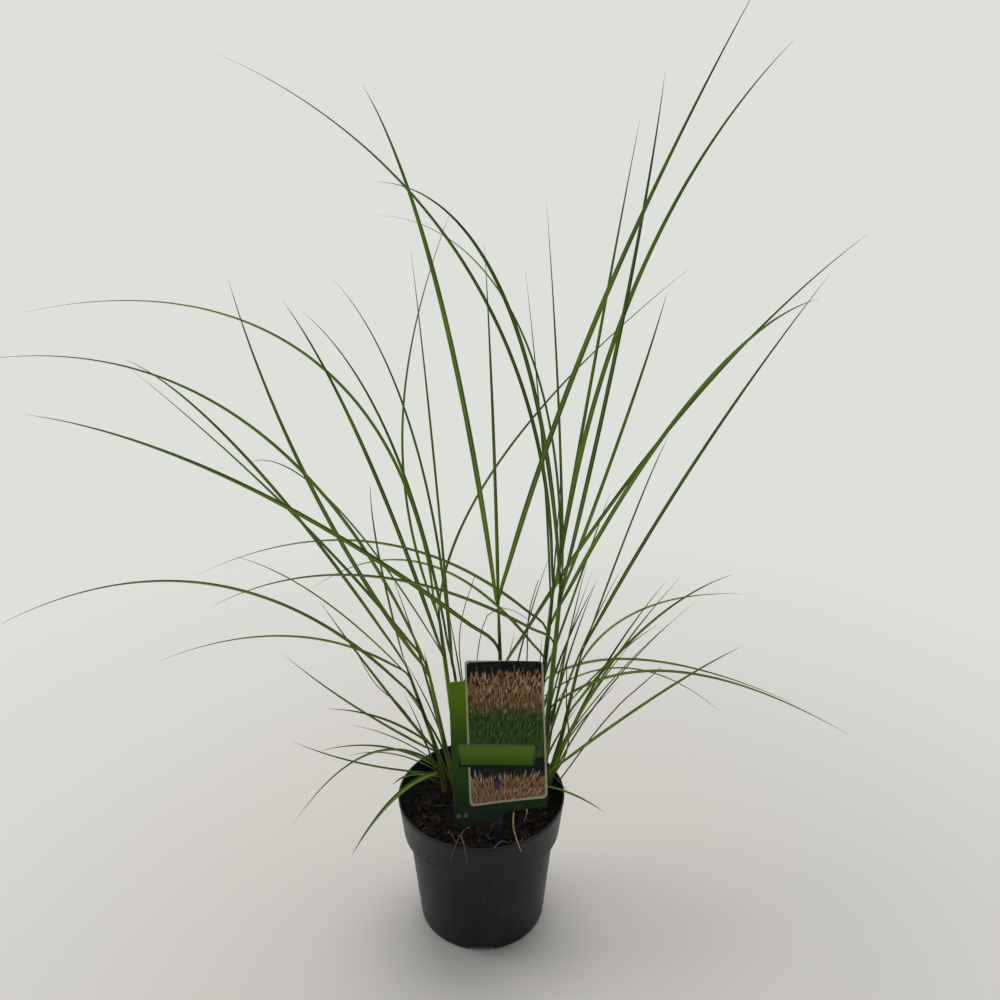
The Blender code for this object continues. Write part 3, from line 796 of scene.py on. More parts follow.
def make_stick_material():
    """The label's stick: dark blue-violet plastic with soil on it."""
    made, wiring, shader = new_material("stick_plastic")
    place = wiring.place()
    height = wiring.split(place)[2]
    soiled = wiring.step(height, SOIL_TOP + 3 * CM, SOIL_TOP, 0.2, 0.8)
    dust = wiring.effect("Dust", Place=place, Smear=soiled, Specks=0.4)
    shade = wiring.mix(wiring.noise(place, 60.0), (0.012, 0.010, 0.032, 1.0), (0.030, 0.026, 0.070, 1.0))
    wiring.feed(shader.inputs["Base Color"], wiring.mix(dust["Mask"], shade, (0.060, 0.045, 0.035, 1.0)))
    wiring.feed(shader.inputs["Roughness"], wiring.step(dust["Mask"], 0.0, 0.8, 0.38, 0.8))
    wiring.feed(shader.inputs["Normal"], wiring.bump(wiring.noise(place, 500.0), 0.2, 0.3 * MM))
    return made


def make_floor_material():
    """Pale matt floor that fades into the bright tent far off, so that no edge shows."""
    look = settings("stage")
    made, wiring, shader = new_material("pale_floor")
    length = wiring.node("ShaderNodeVectorMath", operation="LENGTH")
    wiring.feed(length.inputs[0], wiring.place())
    far = wiring.step(length.outputs["Value"], 0.20, 1.10)
    cloud = wiring.noise(wiring.place(), 1.2, 2.0)
    paler = tuple(part * 1.05 for part in look.floor[:3]) + (1.0,)
    near_shade = wiring.mix(cloud, look.floor, paler)
    black = (0.0, 0.0, 0.0, 1.0)
    wiring.feed(shader.inputs["Base Color"], wiring.mix(far, near_shade, black))
    wiring.feed(shader.inputs["Emission Color"], wiring.mix(far, black, look.tent))
    shader.inputs["Emission Strength"].default_value = 1.0
    shader.inputs["Roughness"].default_value = 0.9
    shader.inputs["Specular IOR Level"].default_value = 0.0
    return made


# ---------------------------------------------------------------- reading the frame


def merged_copy(node):
    """The node's mesh as one closed skin, to read places from."""
    shape = bmesh.new()
    shape.from_mesh(frame["nodes"][node].data)
    bmesh.ops.remove_doubles(shape, verts=shape.verts, dist=0.01 * MM)
    return shape


def blade_rings(node):
    """The rings of corners along a leaf's solid, from its collar to its tip."""
    shape = merged_copy(node)
    crown = Vector((0, 0, SOIL_TOP))
    tip = max(shape.verts, key=lambda point: (point.co - crown).length)
    seen = {tip}
    ring = {tip}
    rings = []
    while ring:
        rings.append([point.co.copy() for point in ring])
        ring = {edge.other_vert(point) for point in ring for edge in point.link_edges} - seen
        seen |= ring
    shape.free()
    return rings[::-1]


Station = namedtuple("Station", "place width across")


def read_blade(node):
    """Centre, width and crosswise direction at each ring of a leaf, from its collar to its tip."""
    rings = blade_rings(node)
    stations = []
    for ring in rings[:-1]:
        first, second = max(combinations(ring, 2), key=lambda pair: (pair[0] - pair[1]).length)
        middle = (first + second) / 2
        fold = sum(ring, Vector()) / len(ring) - middle
        stations.append((middle, (second - first).length, (second - first).normalized(), fold))
    tip = rings[-1][0]
    places = [station[0] for station in stations] + [tip]
    read = []
    for index, (middle, width, across, fold) in enumerate(stations):
        ahead = places[index + 1] - places[max(index - 1, 0)]
        if fold.dot(ahead.cross(across)) > 0:
            across = -across
        read.append(Station(middle, width, across))
    read.append(Station(tip, 0.15 * MM, read[-1].across))
    return read


def stalk_axis(name):
    """A stalk's foot, top and the radius at each, from its node."""
    shape = merged_copy("shoot_" + name)
    low = min(point.co.z for point in shape.verts)
    high = max(point.co.z for point in shape.verts)
    ends = []
    for level in (low, high):
        ring = [point.co.copy() for point in shape.verts if abs(point.co.z - level) < 0.1 * MM]
        middle = sum(ring, Vector()) / len(ring)
        ends.append((middle, (ring[0] - middle).length))
    shape.free()
    return ends


def leaf_nodes(stalk):
    """The leaf nodes that one stalk carries."""
    return sorted(node for node in frame["nodes"] if node.startswith(f"leaf_{stalk}_"))


def stalk_names():
    return sorted(node[len("shoot_"):] for node in frame["nodes"] if node.startswith("shoot_"))


# ---------------------------------------------------------------- making blades


def make_blade_pattern(lengthwise):
    """A straight closed blade along X, 1 m long and 1 mm wide, channelled, with a rib below."""
    deselect_all()
    bpy.ops.mesh.primitive_grid_add(
        x_subdivisions=lengthwise, y_subdivisions=4, size=1, location=(0.5, 0, 0))
    pattern = name_piece(bpy.context.object, "blade_pattern")
    pattern.scale = (1, MM, 1)
    settle(pattern)
    bpy.ops.object.mode_set(mode="EDIT")
    for reach, depth in ((0.3 * MM, -0.09 * MM), (0.1 * MM, -0.07 * MM)):
        select_points(pattern, lambda place: abs(place.y) < reach)
        bpy.ops.transform.translate(value=(0, 0, depth))
    bpy.ops.object.mode_set(mode="OBJECT")
    apply_modifier(pattern, "SOLIDIFY", thickness=0.08 * MM, offset=0.0, use_even_offset=True)
    bpy.ops.object.mode_set(mode="EDIT")
    select_points(pattern, lambda place: abs(place.y) < 0.1 * MM and place.z < -0.16 * MM)
    bpy.ops.transform.translate(value=(0, 0, -0.05 * MM))
    bpy.ops.mesh.select_all(action="SELECT")
    bpy.ops.mesh.normals_make_consistent(inside=False)
    bpy.ops.object.mode_set(mode="OBJECT")
    turn_map(pattern)
    smooth(pattern, 50)
    return pattern


def turn_map(pattern):
    """Lay the pattern's map so that U runs across the blade and V along it."""
    layer = pattern.data.uv_layers[0]
    layer.name = BLADE_MAP
    for loop in pattern.data.loops:
        place = pattern.data.vertices[loop.vertex_index].co
        layer.data[loop.index].uv = (place.y / MM + 0.5, place.x)


def crosswise_tilts(stations):
    """How far the blade is turned about its own line at each station, from an untwisted strip."""
    places = [station.place for station in stations]
    last = len(places) - 1
    ahead = []
    for index in range(last + 1):
        ahead.append((places[min(index + 1, last)] - places[max(index - 1, 0)]).normalized())
    side = Vector((-ahead[0].y, ahead[0].x, 0)).normalized()
    tilts = []
    for index, station in enumerate(stations):
        if index:
            side = ahead[index - 1].rotation_difference(ahead[index]) @ side
        upper = ahead[index].cross(side)
        tilt = math.atan2(station.across.dot(upper), station.across.dot(side))
        if tilts:
            tilt += 2 * math.pi * round((tilts[-1] - tilt) / (2 * math.pi))
        tilts.append(tilt)
    return tilts


def guide_curve(stations, tilts):
    """A smooth curve through the stations, carrying the blade's widths and turns."""
    data = bpy.data.curves.new("blade_guide", "CURVE")
    data.dimensions = "3D"
    data.twist_mode = "MINIMUM"
    data.use_stretch = True
    data.use_deform_bounds = True
    data.use_radius = True
    data.resolution_u = 6
    spline = data.splines.new("BEZIER")
    spline.bezier_points.add(len(stations) - 1)
    for point, station, tilt in zip(spline.bezier_points, stations, tilts):
        point.co = station.place
        point.handle_left_type = "AUTO"
        point.handle_right_type = "AUTO"
        point.radius = station.width / MM
        point.tilt = tilt
    guide = bpy.data.objects.new("blade_guide", data)
    bpy.context.scene.collection.objects.link(guide)
    return guide


def bend_blade(pattern, name, stations, tone, dry):
    """A copy of the straight blade, bent along its stations."""
    guide = guide_curve(stations, crosswise_tilts(stations))
    blade = copy_of(pattern, name)
    apply_modifier(blade, "CURVE", object=guide, deform_axis="POS_X")
    drop(guide)
    mark(blade, "tone", tone)
    mark(blade, "dry", dry)
    return blade


def slimmed(stations, share):
    """Stations whose widths narrow from full at the foot to a share of it along the blade."""
    made = []
    for index, station in enumerate(stations):
        slim = 1 + (share - 1) * min(1.0, 3 * index / len(stations))
        made.append(Station(station.place, station.width * slim, station.across))
    return made


def with_foot(stations, axis, hug):
    """Run a blade's foot down its stalk, so that it leaves the stalk at a narrow angle."""
    (foot, foot_radius), (top, top_radius) = axis
    along = (top - foot).normalized()
    start = stations[0]
    share = (start.place.z - foot.z) / (top.z - foot.z)
    centre = foot.lerp(top, share)
    outward = (start.place - centre).normalized()
    radius = foot_radius + (top_radius - foot_radius) * share
    across = along.cross(outward)
    added = []
    for back, reach, width in ((1.0, 0.2, 0.5), (0.45, 0.75, 0.75)):
        place = centre - along * hug * back + outward * radius * reach
        added.append(Station(place, start.width * width, across))
    return added + stations


def facing_across(along, turn):
    """Crosswise direction of a blade whose face looks up, turned forward by an angle."""
    face = Vector((0, -math.sin(turn), math.cos(turn)))
    return face.cross(along).normalized()


def bent_stations(start, heading, bend, tip, width):
    """Stations of a blade given by its bend point and tip, as (out, up) along its heading."""
    turn = math.radians(heading)
    out = Vector((math.cos(turn), math.sin(turn), 0))
    bend_at = start + out * bend[0] + Vector((0, 0, bend[1]))
    tip_at = start + out * tip[0] + Vector((0, 0, tip[1]))
    stations = []
    for step in range(FINE_STEPS + 1):
        share = step / FINE_STEPS
        lower, upper = start.lerp(bend_at, share), bend_at.lerp(tip_at, share)
        along = (upper - lower).normalized()
        across = facing_across(along, math.radians(50) + TWIST * (share - 0.5))
        stations.append(Station(lower.lerp(upper, share), width * taper(share), across))
    return stations


def straw_stations(straw):
    """Stations of a straw, one at each of its points."""
    places = [Vector(point) * CM for point in straw.points]
    last = len(places) - 1
    stations = []
    for index, place in enumerate(places):
        along = (places[min(index + 1, last)] - places[max(index - 1, 0)]).normalized()
        width = straw.width * MM * (1 - 0.5 * (index / last) ** 2)
        stations.append(Station(place, width, facing_across(along, math.radians(60))))
    return stations


def taper(share):
    """Blade width along its length, against its full width."""
    if share < 0.15:
        return 0.6 + 0.4 * share / 0.15
    if share < 0.4:
        return 1.0
    return 0.96 * (1 - ((share - 0.4) / 0.6) ** 1.5) + 0.04


# ---------------------------------------------------------------- scattering


def scatter_place(chance, reach):
    """A random place on the soil, clear of the pot's wall."""
    turn = chance.uniform(0, 2 * math.pi)
    far = reach * math.sqrt(chance.random())
    return Vector((far * math.cos(turn), far * math.sin(turn), 0))


def soil_height(soil):
    """A function that gives the soil's surface height under a place."""
    tree = bpy.context.evaluated_depsgraph_get()

    def height(place):
        above = Vector((place.x, place.y, POT_TOP))
        hit, where, normal, index = soil.ray_cast(above, Vector((0, 0, -1)), depsgraph=tree)
        return where.z if hit else SOIL_TOP

    return height


def make_strand(points, radii, name):
    """A thin tapering strand through some points."""
    data = bpy.data.curves.new(name, "CURVE")
    data.dimensions = "3D"
    data.resolution_u = 3
    data.bevel_depth = 1.0
    data.bevel_resolution = 0
    data.use_fill_caps = True
    spline = data.splines.new("BEZIER")
    spline.bezier_points.add(len(points) - 1)
    for point, place, radius in zip(spline.bezier_points, points, radii):
        point.co = place
        point.handle_left_type = "AUTO"
        point.handle_right_type = "AUTO"
        point.radius = radius
    strand = bpy.data.objects.new(name, data)
    bpy.context.scene.collection.objects.link(strand)
    work_on(strand)
    bpy.ops.object.convert(target="MESH")
    return bpy.context.object


# ---------------------------------------------------------------- operators: pieces


class GRASS_OT_pot(bpy.types.Operator):
    """Turn the nursery pot, with its stacking collar, foot notches and drain holes"""

    bl_idname = "grass.pot"
    bl_label = "Pot"

    def execute(self, context):
        pot = spin_profile("nursery_pot", self.profile(), settings("pot").steps)
        self.cut_openings(pot)
        smooth(pot, 35)
        finish_piece(pot, [make_pot_material()], ["pot"])
        return {"FINISHED"}

    def profile(self):
        """The pot's skin as (radius, height): down the inside, up the outside."""
        floor_top = FLOOR_RISE + WALL
        lip = 0.5 * MM
        inside = [
            (0, floor_top),
            (FOOT_RADIUS - WALL - 2.5 * MM, floor_top),
            (FOOT_RADIUS - WALL + 0.4 * MM, floor_top + 2.5 * MM),
            (NECK_RADIUS - WALL, COLLAR_FOOT - WALL),
            (COLLAR_FOOT_RADIUS - WALL, COLLAR_FOOT + WALL),
            (RIM_RADIUS - WALL - 0.2 * MM, POT_TOP - 2 * MM),
        ]
        rim = []
        for step in range(7):
            turn = math.pi * step / 6
            radius = RIM_RADIUS - WALL * 0.55 - math.cos(turn) * WALL * 0.5
            rim.append((radius, POT_TOP - lip + math.sin(turn) * lip))
        outside = [
            (RIM_RADIUS - 0.35 * MM, POT_TOP - 4 * MM),
            (RIM_RADIUS - 0.6 * MM, POT_TOP - 4.6 * MM),
            (COLLAR_FOOT_RADIUS + 0.5 * MM, COLLAR_FOOT + 3 * MM),
            (COLLAR_FOOT_RADIUS + 0.2 * MM, COLLAR_FOOT + 1 * MM),
            (COLLAR_FOOT_RADIUS - 0.8 * MM, COLLAR_FOOT - 0.2 * MM),
            (NECK_RADIUS + 1.5 * MM, COLLAR_FOOT - 0.4 * MM),
            (NECK_RADIUS + 0.2 * MM, COLLAR_FOOT - 1.6 * MM),
            (FOOT_RADIUS + 0.9 * MM, 9 * MM),
            (FOOT_RADIUS + 0.6 * MM, 7.8 * MM),
            (FOOT_RADIUS + 0.1 * MM, 2.0 * MM),
            (FOOT_RADIUS - 0.6 * MM, 0.5 * MM),
            (FOOT_RADIUS - 1.4 * MM, 0),
            (FOOT_RADIUS - 4 * MM, 0),
            (FOOT_RADIUS - 4.6 * MM, 0.6 * MM),
            (FOOT_RADIUS - 5.2 * MM, FLOOR_RISE),
            (PAD_RADIUS + 1.5 * MM, FLOOR_RISE),
            (PAD_RADIUS, 0),
            (0, 0),
        ]
        return inside + rim + outside

    def cut_openings(self, pot):
        """Notches through the foot ring, then holes through the floor."""
        for index in range(NOTCH_COUNT):
            turn = -math.pi / 2 + 2 * math.pi * index / NOTCH_COUNT
            place = (FOOT_RADIUS * math.cos(turn), FOOT_RADIUS * math.sin(turn), 0)
            deselect_all()
            bpy.ops.mesh.primitive_cube_add(
                size=1, location=place, rotation=(0, 0, turn),
                scale=(20 * MM, 28 * MM, 2 * NOTCH_HEIGHT))
            cutter = bpy.context.object
            settle(cutter)
            bpy.ops.object.mode_set(mode="EDIT")
            select_points(cutter, lambda corner: corner.z > 0)
            bpy.ops.transform.resize(value=(0.85, 0.85, 1), center_override=place)
            bpy.ops.object.mode_set(mode="OBJECT")
            cut_with(pot, cutter)
        for index in range(DRAIN_COUNT):
            turn = 2 * math.pi * (index + 0.5) / DRAIN_COUNT
            deselect_all()
            bpy.ops.mesh.primitive_cylinder_add(
                vertices=24, radius=DRAIN_RADIUS, depth=8 * MM,
                location=(DRAIN_CIRCLE * math.cos(turn), DRAIN_CIRCLE * math.sin(turn), FLOOR_RISE))
            cutter = bpy.context.object
            settle(cutter)
            cut_with(pot, cutter)


class GRASS_OT_soil(bpy.types.Operator):
    """Fill the pot with soil that has a lumpy surface"""

    bl_idname = "grass.soil"
    bl_label = "Soil"

    def execute(self, context):
        look = settings("soil")
        soil = spin_profile("soil_bed", self.profile(), SOIL_STEPS)
        self.raise_lumps(soil, look.lump_height)
        smooth(soil, 60)
        finish_piece(soil, [make_peat_material("peat", look.dark, look.light, 120.0)], ["soil"])
        return {"FINISHED"}

    def profile(self):
        """The soil as (radius, height): close rings on top, then down the inside of the pot."""
        edge = SOIL_RADIUS + 1.6 * MM
        surface = [(edge * ring / SOIL_RINGS, SOIL_TOP) for ring in range(SOIL_RINGS + 1)]
        body = [
            (COLLAR_FOOT_RADIUS - 2.9 * MM, COLLAR_FOOT + 4 * MM),
            (NECK_RADIUS - 1.9 * MM, COLLAR_FOOT - 2 * MM),
            (FOOT_RADIUS - 2 * MM, SOIL_FLOOR + 3 * MM),
            (FOOT_RADIUS - 6 * MM, SOIL_FLOOR),
            (0, SOIL_FLOOR),
        ]
        return surface + body

    def raise_lumps(self, soil, height):
        """Push the surface up and down with three sizes of cloud."""
        group = soil.vertex_groups.new(name="surface")
        for point in soil.data.vertices:
            if point.co.z > SOIL_TOP - MM:
                far = math.hypot(point.co.x, point.co.y) / SOIL_RADIUS
                group.add([point.index], max(0.25, 1 - far ** 6), "REPLACE")
        for size, share in ((26 * MM, 0.8), (8 * MM, 0.9), (2.6 * MM, 0.5)):
            cloud = bpy.data.textures.new("soil_lumps", "CLOUDS")
            cloud.noise_scale = size
            cloud.noise_depth = 2
            apply_modifier(
                soil, "DISPLACE", texture=cloud, texture_coords="LOCAL", direction="Z",
                strength=height * share, mid_level=0.42, vertex_group="surface")


class GRASS_OT_soil_litter(bpy.types.Operator):
    """Scatter crumbs, bark chips and pale rootlets on the soil"""

    bl_idname = "grass.soil_litter"
    bl_label = "Soil crumbs, bark and rootlets"

    def execute(self, context):
        look = settings("soil")
        height = soil_height(bpy.data.objects["soil_bed"])
        chance = random.Random(5)
        crumbs = self.scatter_crumbs(chance, height, look.crumbs)
        finish_piece(crumbs, [make_peat_material("peat_crumb", look.dark, look.light, 300.0)])
        chips = self.scatter_chips(chance, height, look.chips)
        finish_piece(chips, [make_peat_material(
            "bark_chip", (0.020, 0.011, 0.007, 1.0), (0.115, 0.070, 0.042, 1.0), 200.0)])
        rootlets = self.scatter_rootlets(chance, height, look.rootlets)
        finish_piece(rootlets, [make_straw_material()])
        return {"FINISHED"}

    def scatter_crumbs(self, chance, height, count):
        """Small uneven crumbs, half sunk in the surface."""
        patterns = []
        for number in range(CRUMB_SHAPES):
            deselect_all()
            bpy.ops.mesh.primitive_ico_sphere_add(subdivisions=1, radius=0.5)
            crumb = bpy.context.object
            for point in crumb.data.vertices:
                point.co *= chance.uniform(0.65, 1.3)
            patterns.append(crumb)
        made = []
        for number in range(count):
            place = scatter_place(chance, SOIL_RADIUS - 2 * MM)
            size = MM * (1.0 + 3.6 * chance.random() ** 3)
            crumb = copy_of(patterns[number % CRUMB_SHAPES], "crumb")
            crumb.location = (place.x, place.y, height(place) + size * 0.12)
            crumb.rotation_euler = [chance.uniform(0, 6.28) for axis in range(3)]
            crumb.scale = (size, size * chance.uniform(0.7, 1.2), size * chance.uniform(0.5, 0.9))
            made.append(crumb)
        for pattern in patterns:
            drop(pattern)
        joined = join_pieces(made, "soil_crumbs")
        settle(joined)
        return joined

    def scatter_chips(self, chance, height, count):
        """Flat shards of bark, lying at a slant."""
        deselect_all()
        bpy.ops.mesh.primitive_cube_add(size=1)
        pattern = bpy.context.object
        bpy.ops.object.mode_set(mode="EDIT")
        bpy.ops.mesh.subdivide(number_cuts=1)
        bpy.ops.object.mode_set(mode="OBJECT")
        made = []
        for number in range(count):
            place = scatter_place(chance, SOIL_RADIUS - 6 * MM)
            chip = copy_of(pattern, "chip")
            for point in chip.data.vertices:
                point.co *= chance.uniform(0.7, 1.25)
            length = chance.uniform(3, 9) * MM
            chip.scale = (length, length * chance.uniform(0.25, 0.6), chance.uniform(0.5, 1.2) * MM)
            chip.location = (place.x, place.y, height(place) + 0.8 * MM)
            chip.rotation_euler = (
                chance.uniform(-0.5, 0.5), chance.uniform(-0.4, 0.4), chance.uniform(0, 6.28))
            made.append(chip)
        drop(pattern)
        joined = join_pieces(made, "bark_chips")
        settle(joined)
        return joined

    def scatter_rootlets(self, chance, height, count):
        """Thin pale fibres, curled over the surface."""
        made = []
        for number in range(count):
            place = scatter_place(chance, SOIL_RADIUS - 9 * MM)
            turn = chance.uniform(0, 2 * math.pi)
            length = chance.uniform(6, 26) * MM
            points = []
            for step in range(4):
                turn += chance.uniform(-0.5, 0.5)
                place = place + Vector((math.cos(turn), math.sin(turn), 0)) * length / 4
                if place.length > SOIL_RADIUS - 2 * MM:
                    break
                lift = chance.uniform(0.1, 1.6) * MM
                points.append(Vector((place.x, place.y, height(place) + lift)))
            if len(points) < 2:
                continue
            radius = chance.uniform(0.10, 0.26) * MM
            strand = make_strand(points, [radius] * (len(points) - 1) + [radius * 0.3], "rootlet")
            mark(strand, "tone", chance.choice((0.15, 0.45, 0.75, 0.95)))
            made.append(strand)
        return join_pieces(made, "rootlets")


class GRASS_OT_stalks(bpy.types.Operator):
    """Grow the stalks, each wrapped in the sheaths of its leaves"""

    bl_idname = "grass.stalks"
    bl_label = "Stalks"

    def execute(self, context):
        material = make_stalk_material()
        for name in stalk_names():
            stalk = self.grow(name)
            finish_piece(stalk, [material], ["shoot_" + name])
        return {"FINISHED"}

    def grow(self, name):
        """Extrude a ring up the stalk, stepping in at the mouth of each sheath."""
        (foot, foot_radius), (top, top_radius) = stalk_axis(name)
        mouths = sorted(read_blade(node)[0].place.z for node in leaf_nodes(name))
        levels = self.levels(foot.z, top.z, mouths)
        deselect_all()
        bpy.ops.mesh.primitive_circle_add(
            vertices=14, radius=foot_radius * 1.25, fill_type="NGON", location=foot - Vector((0, 0, 4 * MM)))
        stalk = name_piece(bpy.context.object, "stalk_" + name)
        settle(stalk)
        bpy.ops.object.mode_set(mode="EDIT")
        place = foot - Vector((0, 0, 4 * MM))
        size = foot_radius * 1.25
        for level in levels:
            share = (level - foot.z) / (top.z - foot.z)
            following = foot.lerp(top, share)
            radius = (foot_radius + (top_radius - foot_radius) * share) * self.closing(level, top.z)
            radius += self.sheath(level, mouths)
            bpy.ops.mesh.extrude_region_move(TRANSFORM_OT_translate={"value": following - place})
            bpy.ops.transform.resize(value=(radius / size, radius / size, 1), center_override=following)
            place = following
            size = radius
        bpy.ops.mesh.select_all(action="SELECT")
        bpy.ops.mesh.normals_make_consistent(inside=False)
        bpy.ops.object.mode_set(mode="OBJECT")
        smooth(stalk, 50)
        return stalk

    def levels(self, low, high, mouths):
        """Heights of the rings: evenly spaced, with a close pair at each sheath's mouth."""
        count = max(4, round((high - low) / (2 * CM)))
        spaced = [low + (high - low) * step / count for step in range(count)]
        spaced += [high - 8 * MM, high - 3 * MM, high]
        for mouth in mouths:
            spaced += [mouth - 0.4 * MM, mouth + 0.6 * MM]
        return sorted(level for level in spaced if level <= high)

    def closing(self, level, high):
        """The stalk's own share of its radius: rolled to a point at the top."""
        return 0.08 + 0.92 * min(1.0, (high - level) / (3 * CM))

    def sheath(self, level, mouths):
        """How much the sheaths still wrapped round the stalk thicken it at a height."""
        above = sum(1 for mouth in mouths if mouth > level)
        return 0.12 * MM * above


class GRASS_OT_blades(bpy.types.Operator):
    """Bend a finished blade along each leaf of the frame"""

    bl_idname = "grass.blades"
    bl_label = "Leaf blades"

    def execute(self, context):
        look = settings("grass")
        material = make_blade_material()
        pattern = make_blade_pattern(60)
        chance = random.Random(11)
        for stalk in stalk_names():
            axis = stalk_axis(stalk)
            for node in leaf_nodes(stalk):
                stations = with_foot(slimmed(read_blade(node), look.slimness), axis, look.hug)
                name = node.replace("leaf_", "blade_")
                tone = chance.uniform(0.0, 0.5)
                blade = bend_blade(pattern, name, stations, tone, chance.uniform(0.0, 0.22))
                finish_piece(blade, [material], [node])
        drop(pattern)
        return {"FINISHED"}


class GRASS_OT_fine_blades(bpy.types.Operator):
    """Add the finest blades and young shoots, too thin for the frame"""

    bl_idname = "grass.fine_blades"
    bl_label = "Fine blades and young shoots"

    def execute(self, context):
        material = bpy.data.materials["grass_blade"]
        pattern = make_blade_pattern(24)
        chance = random.Random(23)
        fine = [self.fine_blade(pattern, chance, blade) for blade in FINE_BLADES]
        finish_piece(join_pieces(fine, "fine_blades"), [material])
        count = settings("grass").young_shoots
        young = [self.young_shoot(pattern, chance) for number in range(count)]
        finish_piece(join_pieces(young, "young_shoots"), [material])
        drop(pattern)
        return {"FINISHED"}

    def fine_blade(self, pattern, chance, fine):
        """One blade of the table above, starting on its stalk's axis."""
        (foot, foot_radius), (top, top_radius) = stalk_axis(fine.stalk)
        start = foot.lerp(top, (fine.height * CM - foot.z) / (top.z - foot.z))
        bend = [part * CM for part in fine.bend]
        tip = [part * CM for part in fine.tip]
        stations = bent_stations(start, fine.heading, bend, tip, fine.width * MM)
        return bend_blade(pattern, "fine_blade", stations, chance.uniform(0, 0.5), chance.uniform(0.05, 0.3))

    def young_shoot(self, pattern, chance):
        """A thin new shoot beside a stalk's foot, leaning about as the stalk does."""
        (foot, foot_radius), (top, top_radius) = stalk_axis(chance.choice(stalk_names()))
        start = foot + Vector((chance.uniform(-8, 8) * MM, chance.uniform(1, 9) * MM, -3 * MM))
        lean = (top - foot).normalized()
        heading = math.degrees(math.atan2(lean.y, lean.x)) + chance.uniform(-30, 30)
        rise = chance.uniform(9, 30) * CM
        out = rise * (math.hypot(lean.x, lean.y) / lean.z + chance.uniform(-0.05, 0.25))
        bend = (out * 0.35, rise * 0.55)
        tip = (out * chance.uniform(1.0, 1.3), rise)
        stations = bent_stations(start, heading, bend, tip, chance.uniform(1.3, 2.6) * MM)
        return bend_blade(pattern, "young_shoot", stations, chance.uniform(0, 0.6), chance.uniform(0.0, 0.5))


class GRASS_OT_straws(bpy.types.Operator):
    """Lay the dead stems and straws"""

    bl_idname = "grass.straws"
    bl_label = "Dead stems and straws"

    def execute(self, context):
        pattern = make_blade_pattern(16)
        made = [bend_blade(pattern, "straw", straw_stations(straw), straw.tone, 0.0) for straw in STRAWS]
        drop(pattern)
        finish_piece(join_pieces(made, "straws"), [bpy.data.materials["dry_straw"]])
        return {"FINISHED"}


class GRASS_OT_label(bpy.types.Operator):
    """Print the picture label's card and finish its stick"""

    bl_idname = "grass.label"
    bl_label = "Picture label"

    def execute(self, context):
        card = self.smooth_copy("label_card", "picture_card")
        self.sort_faces(card)
        finish_piece(card, [make_print_material(), make_card_back_material()], ["label_card"])
        stick = self.smooth_copy("label_stake", "label_stick")
        apply_modifier(stick, "BEVEL", width=0.4 * MM, segments=2, limit_method="ANGLE")
        smooth(stick, 35)
        finish_piece(stick, [make_stick_material()], ["label_stake"])
        return {"FINISHED"}

    def smooth_copy(self, node, name):
        """A merged copy of a node's mesh, with its flat faces whole again."""
        shape = merged_copy(node)
        mesh = bpy.data.meshes.new(name)
        shape.to_mesh(mesh)
        shape.free()
        piece = bpy.data.objects.new(name, mesh)
        bpy.context.scene.collection.objects.link(piece)
        work_on(piece)
        bpy.ops.object.mode_set(mode="EDIT")
        bpy.ops.mesh.select_all(action="SELECT")
        bpy.ops.mesh.dissolve_limited(angle_limit=math.radians(1))
        bpy.ops.object.mode_set(mode="OBJECT")
        smooth(piece, 30)
        return piece

    def sort_faces(self, card):
        """The front takes the print, the back and the cut edges the plain card."""
        front = LABEL_TURN @ Vector((0, 0, 1))
        card.data.materials.append(None)
        card.data.materials.append(None)
        for face in card.data.polygons:
            face.material_index = 0 if face.normal.dot(front) > 0.7 else 1


# ---------------------------------------------------------------- operators: stage


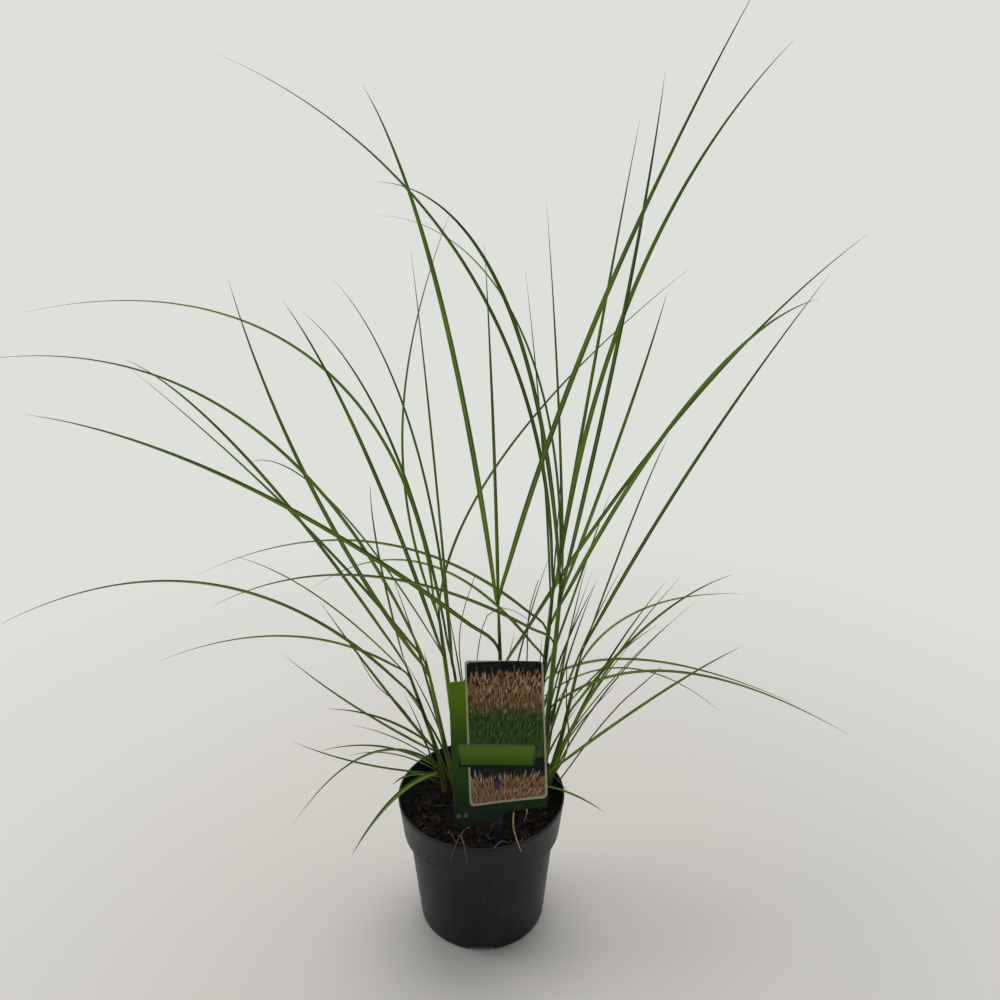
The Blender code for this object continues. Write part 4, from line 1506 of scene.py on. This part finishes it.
class GRASS_OT_stage(bpy.types.Operator):
    """Set the floor, the soft lights and the camera"""

    bl_idname = "grass.stage"
    bl_label = "Stage"

    def execute(self, context):
        context.scene.view_settings.view_transform = "Standard"
        self.lay_floor()
        self.light_world()
        self.hang_light("soft_top", (0.2, 0.9, 2.2), (20, 0, 0), 2.2, 26)
        self.hang_light("soft_left", (-1.9, 0.3, 1.4), (60, 0, -80), 1.4, 14)
        self.place_camera(context)
        return {"FINISHED"}

    def lay_floor(self):
        deselect_all()
        bpy.ops.mesh.primitive_plane_add(size=30, location=(0, 0, -0.2 * MM))
        floor = name_piece(bpy.context.object, "floor")
        settle(floor)
        floor.data.materials.append(make_floor_material())

    def light_world(self):
        """A bright tent, dimmer on the camera's side so that dark plastic stays dark."""
        world = bpy.data.worlds.new("soft_tent")
        bpy.context.scene.world = world
        world.use_nodes = True
        wiring = Wiring(world.node_tree)
        direction = wiring.split(wiring.node("ShaderNodeTexCoord").outputs["Generated"])
        back = wiring.step(direction[1], -0.75, 0.35)
        shade = wiring.mix(back, (0.13, 0.135, 0.145, 1.0), settings("stage").tent)
        background = world.node_tree.nodes["Background"]
        wiring.feed(background.inputs["Color"], shade)

    def hang_light(self, name, place, turns, size, power):
        data = bpy.data.lights.new(name, "AREA")
        data.shape = "DISK"
        data.size = size
        data.energy = power
        lamp = bpy.data.objects.new(name, data)
        bpy.context.scene.collection.objects.link(lamp)
        lamp.location = place
        aim = Vector((0, 0, 0.35)) - Vector(place)
        lamp.rotation_euler = aim.to_track_quat("-Z", "Y").to_euler()

    def place_camera(self, context):
        look = settings("stage")
        data = bpy.data.cameras.new("camera")
        data.lens = look.lens
        data.sensor_width = 36.0
        data.clip_start = 0.01
        data.clip_end = 100.0
        camera = bpy.data.objects.new("camera", data)
        context.scene.collection.objects.link(camera)
        camera.location = look.camera_place
        camera.rotation_euler = (math.pi / 2 - look.camera_dip, 0, 0)
        context.scene.camera = camera


# ---------------------------------------------------------------- the add-on


PIECES = [
    GRASS_OT_pot,
    GRASS_OT_soil,
    GRASS_OT_soil_litter,
    GRASS_OT_stalks,
    GRASS_OT_blades,
    GRASS_OT_fine_blades,
    GRASS_OT_straws,
    GRASS_OT_label,
    GRASS_OT_stage,
]


class GRASS_PT_panel(bpy.types.Panel):
    """Lists the pieces of the grass clump"""

    bl_idname = "GRASS_PT_panel"
    bl_label = "Potted Silver Grass"
    bl_space_type = "VIEW_3D"
    bl_region_type = "UI"
    bl_category = "Grass"

    def draw(self, context):
        for piece in PIECES:
            self.layout.operator(piece.bl_idname)


GROUPS = {
    "pot": PotSettings,
    "soil": SoilSettings,
    "grass": GrassSettings,
    "label": LabelSettings,
    "stage": StageSettings,
}


def register():
    for group in GROUPS.values():
        bpy.utils.register_class(group)
    for name, group in GROUPS.items():
        setattr(bpy.types.Scene, "grass_" + name, bpy.props.PointerProperty(type=group))
    for piece in PIECES:
        bpy.utils.register_class(piece)
    bpy.utils.register_class(GRASS_PT_panel)


def unregister():
    bpy.utils.unregister_class(GRASS_PT_panel)
    for piece in reversed(PIECES):
        bpy.utils.unregister_class(piece)
    for name in GROUPS:
        delattr(bpy.types.Scene, "grass_" + name)
    for group in reversed(list(GROUPS.values())):
        bpy.utils.unregister_class(group)


def main():
    register()
    make_vein_effect()
    make_dust_effect()
    make_panel_effect()
    bpy.ops.grass.stage()
    bpy.ops.grass.pot()
    bpy.ops.grass.soil()
    bpy.ops.grass.soil_litter()
    bpy.ops.grass.stalks()
    bpy.ops.grass.blades()
    bpy.ops.grass.fine_blades()
    bpy.ops.grass.straws()
    bpy.ops.grass.label()


if __name__ == "__main__":
    main()
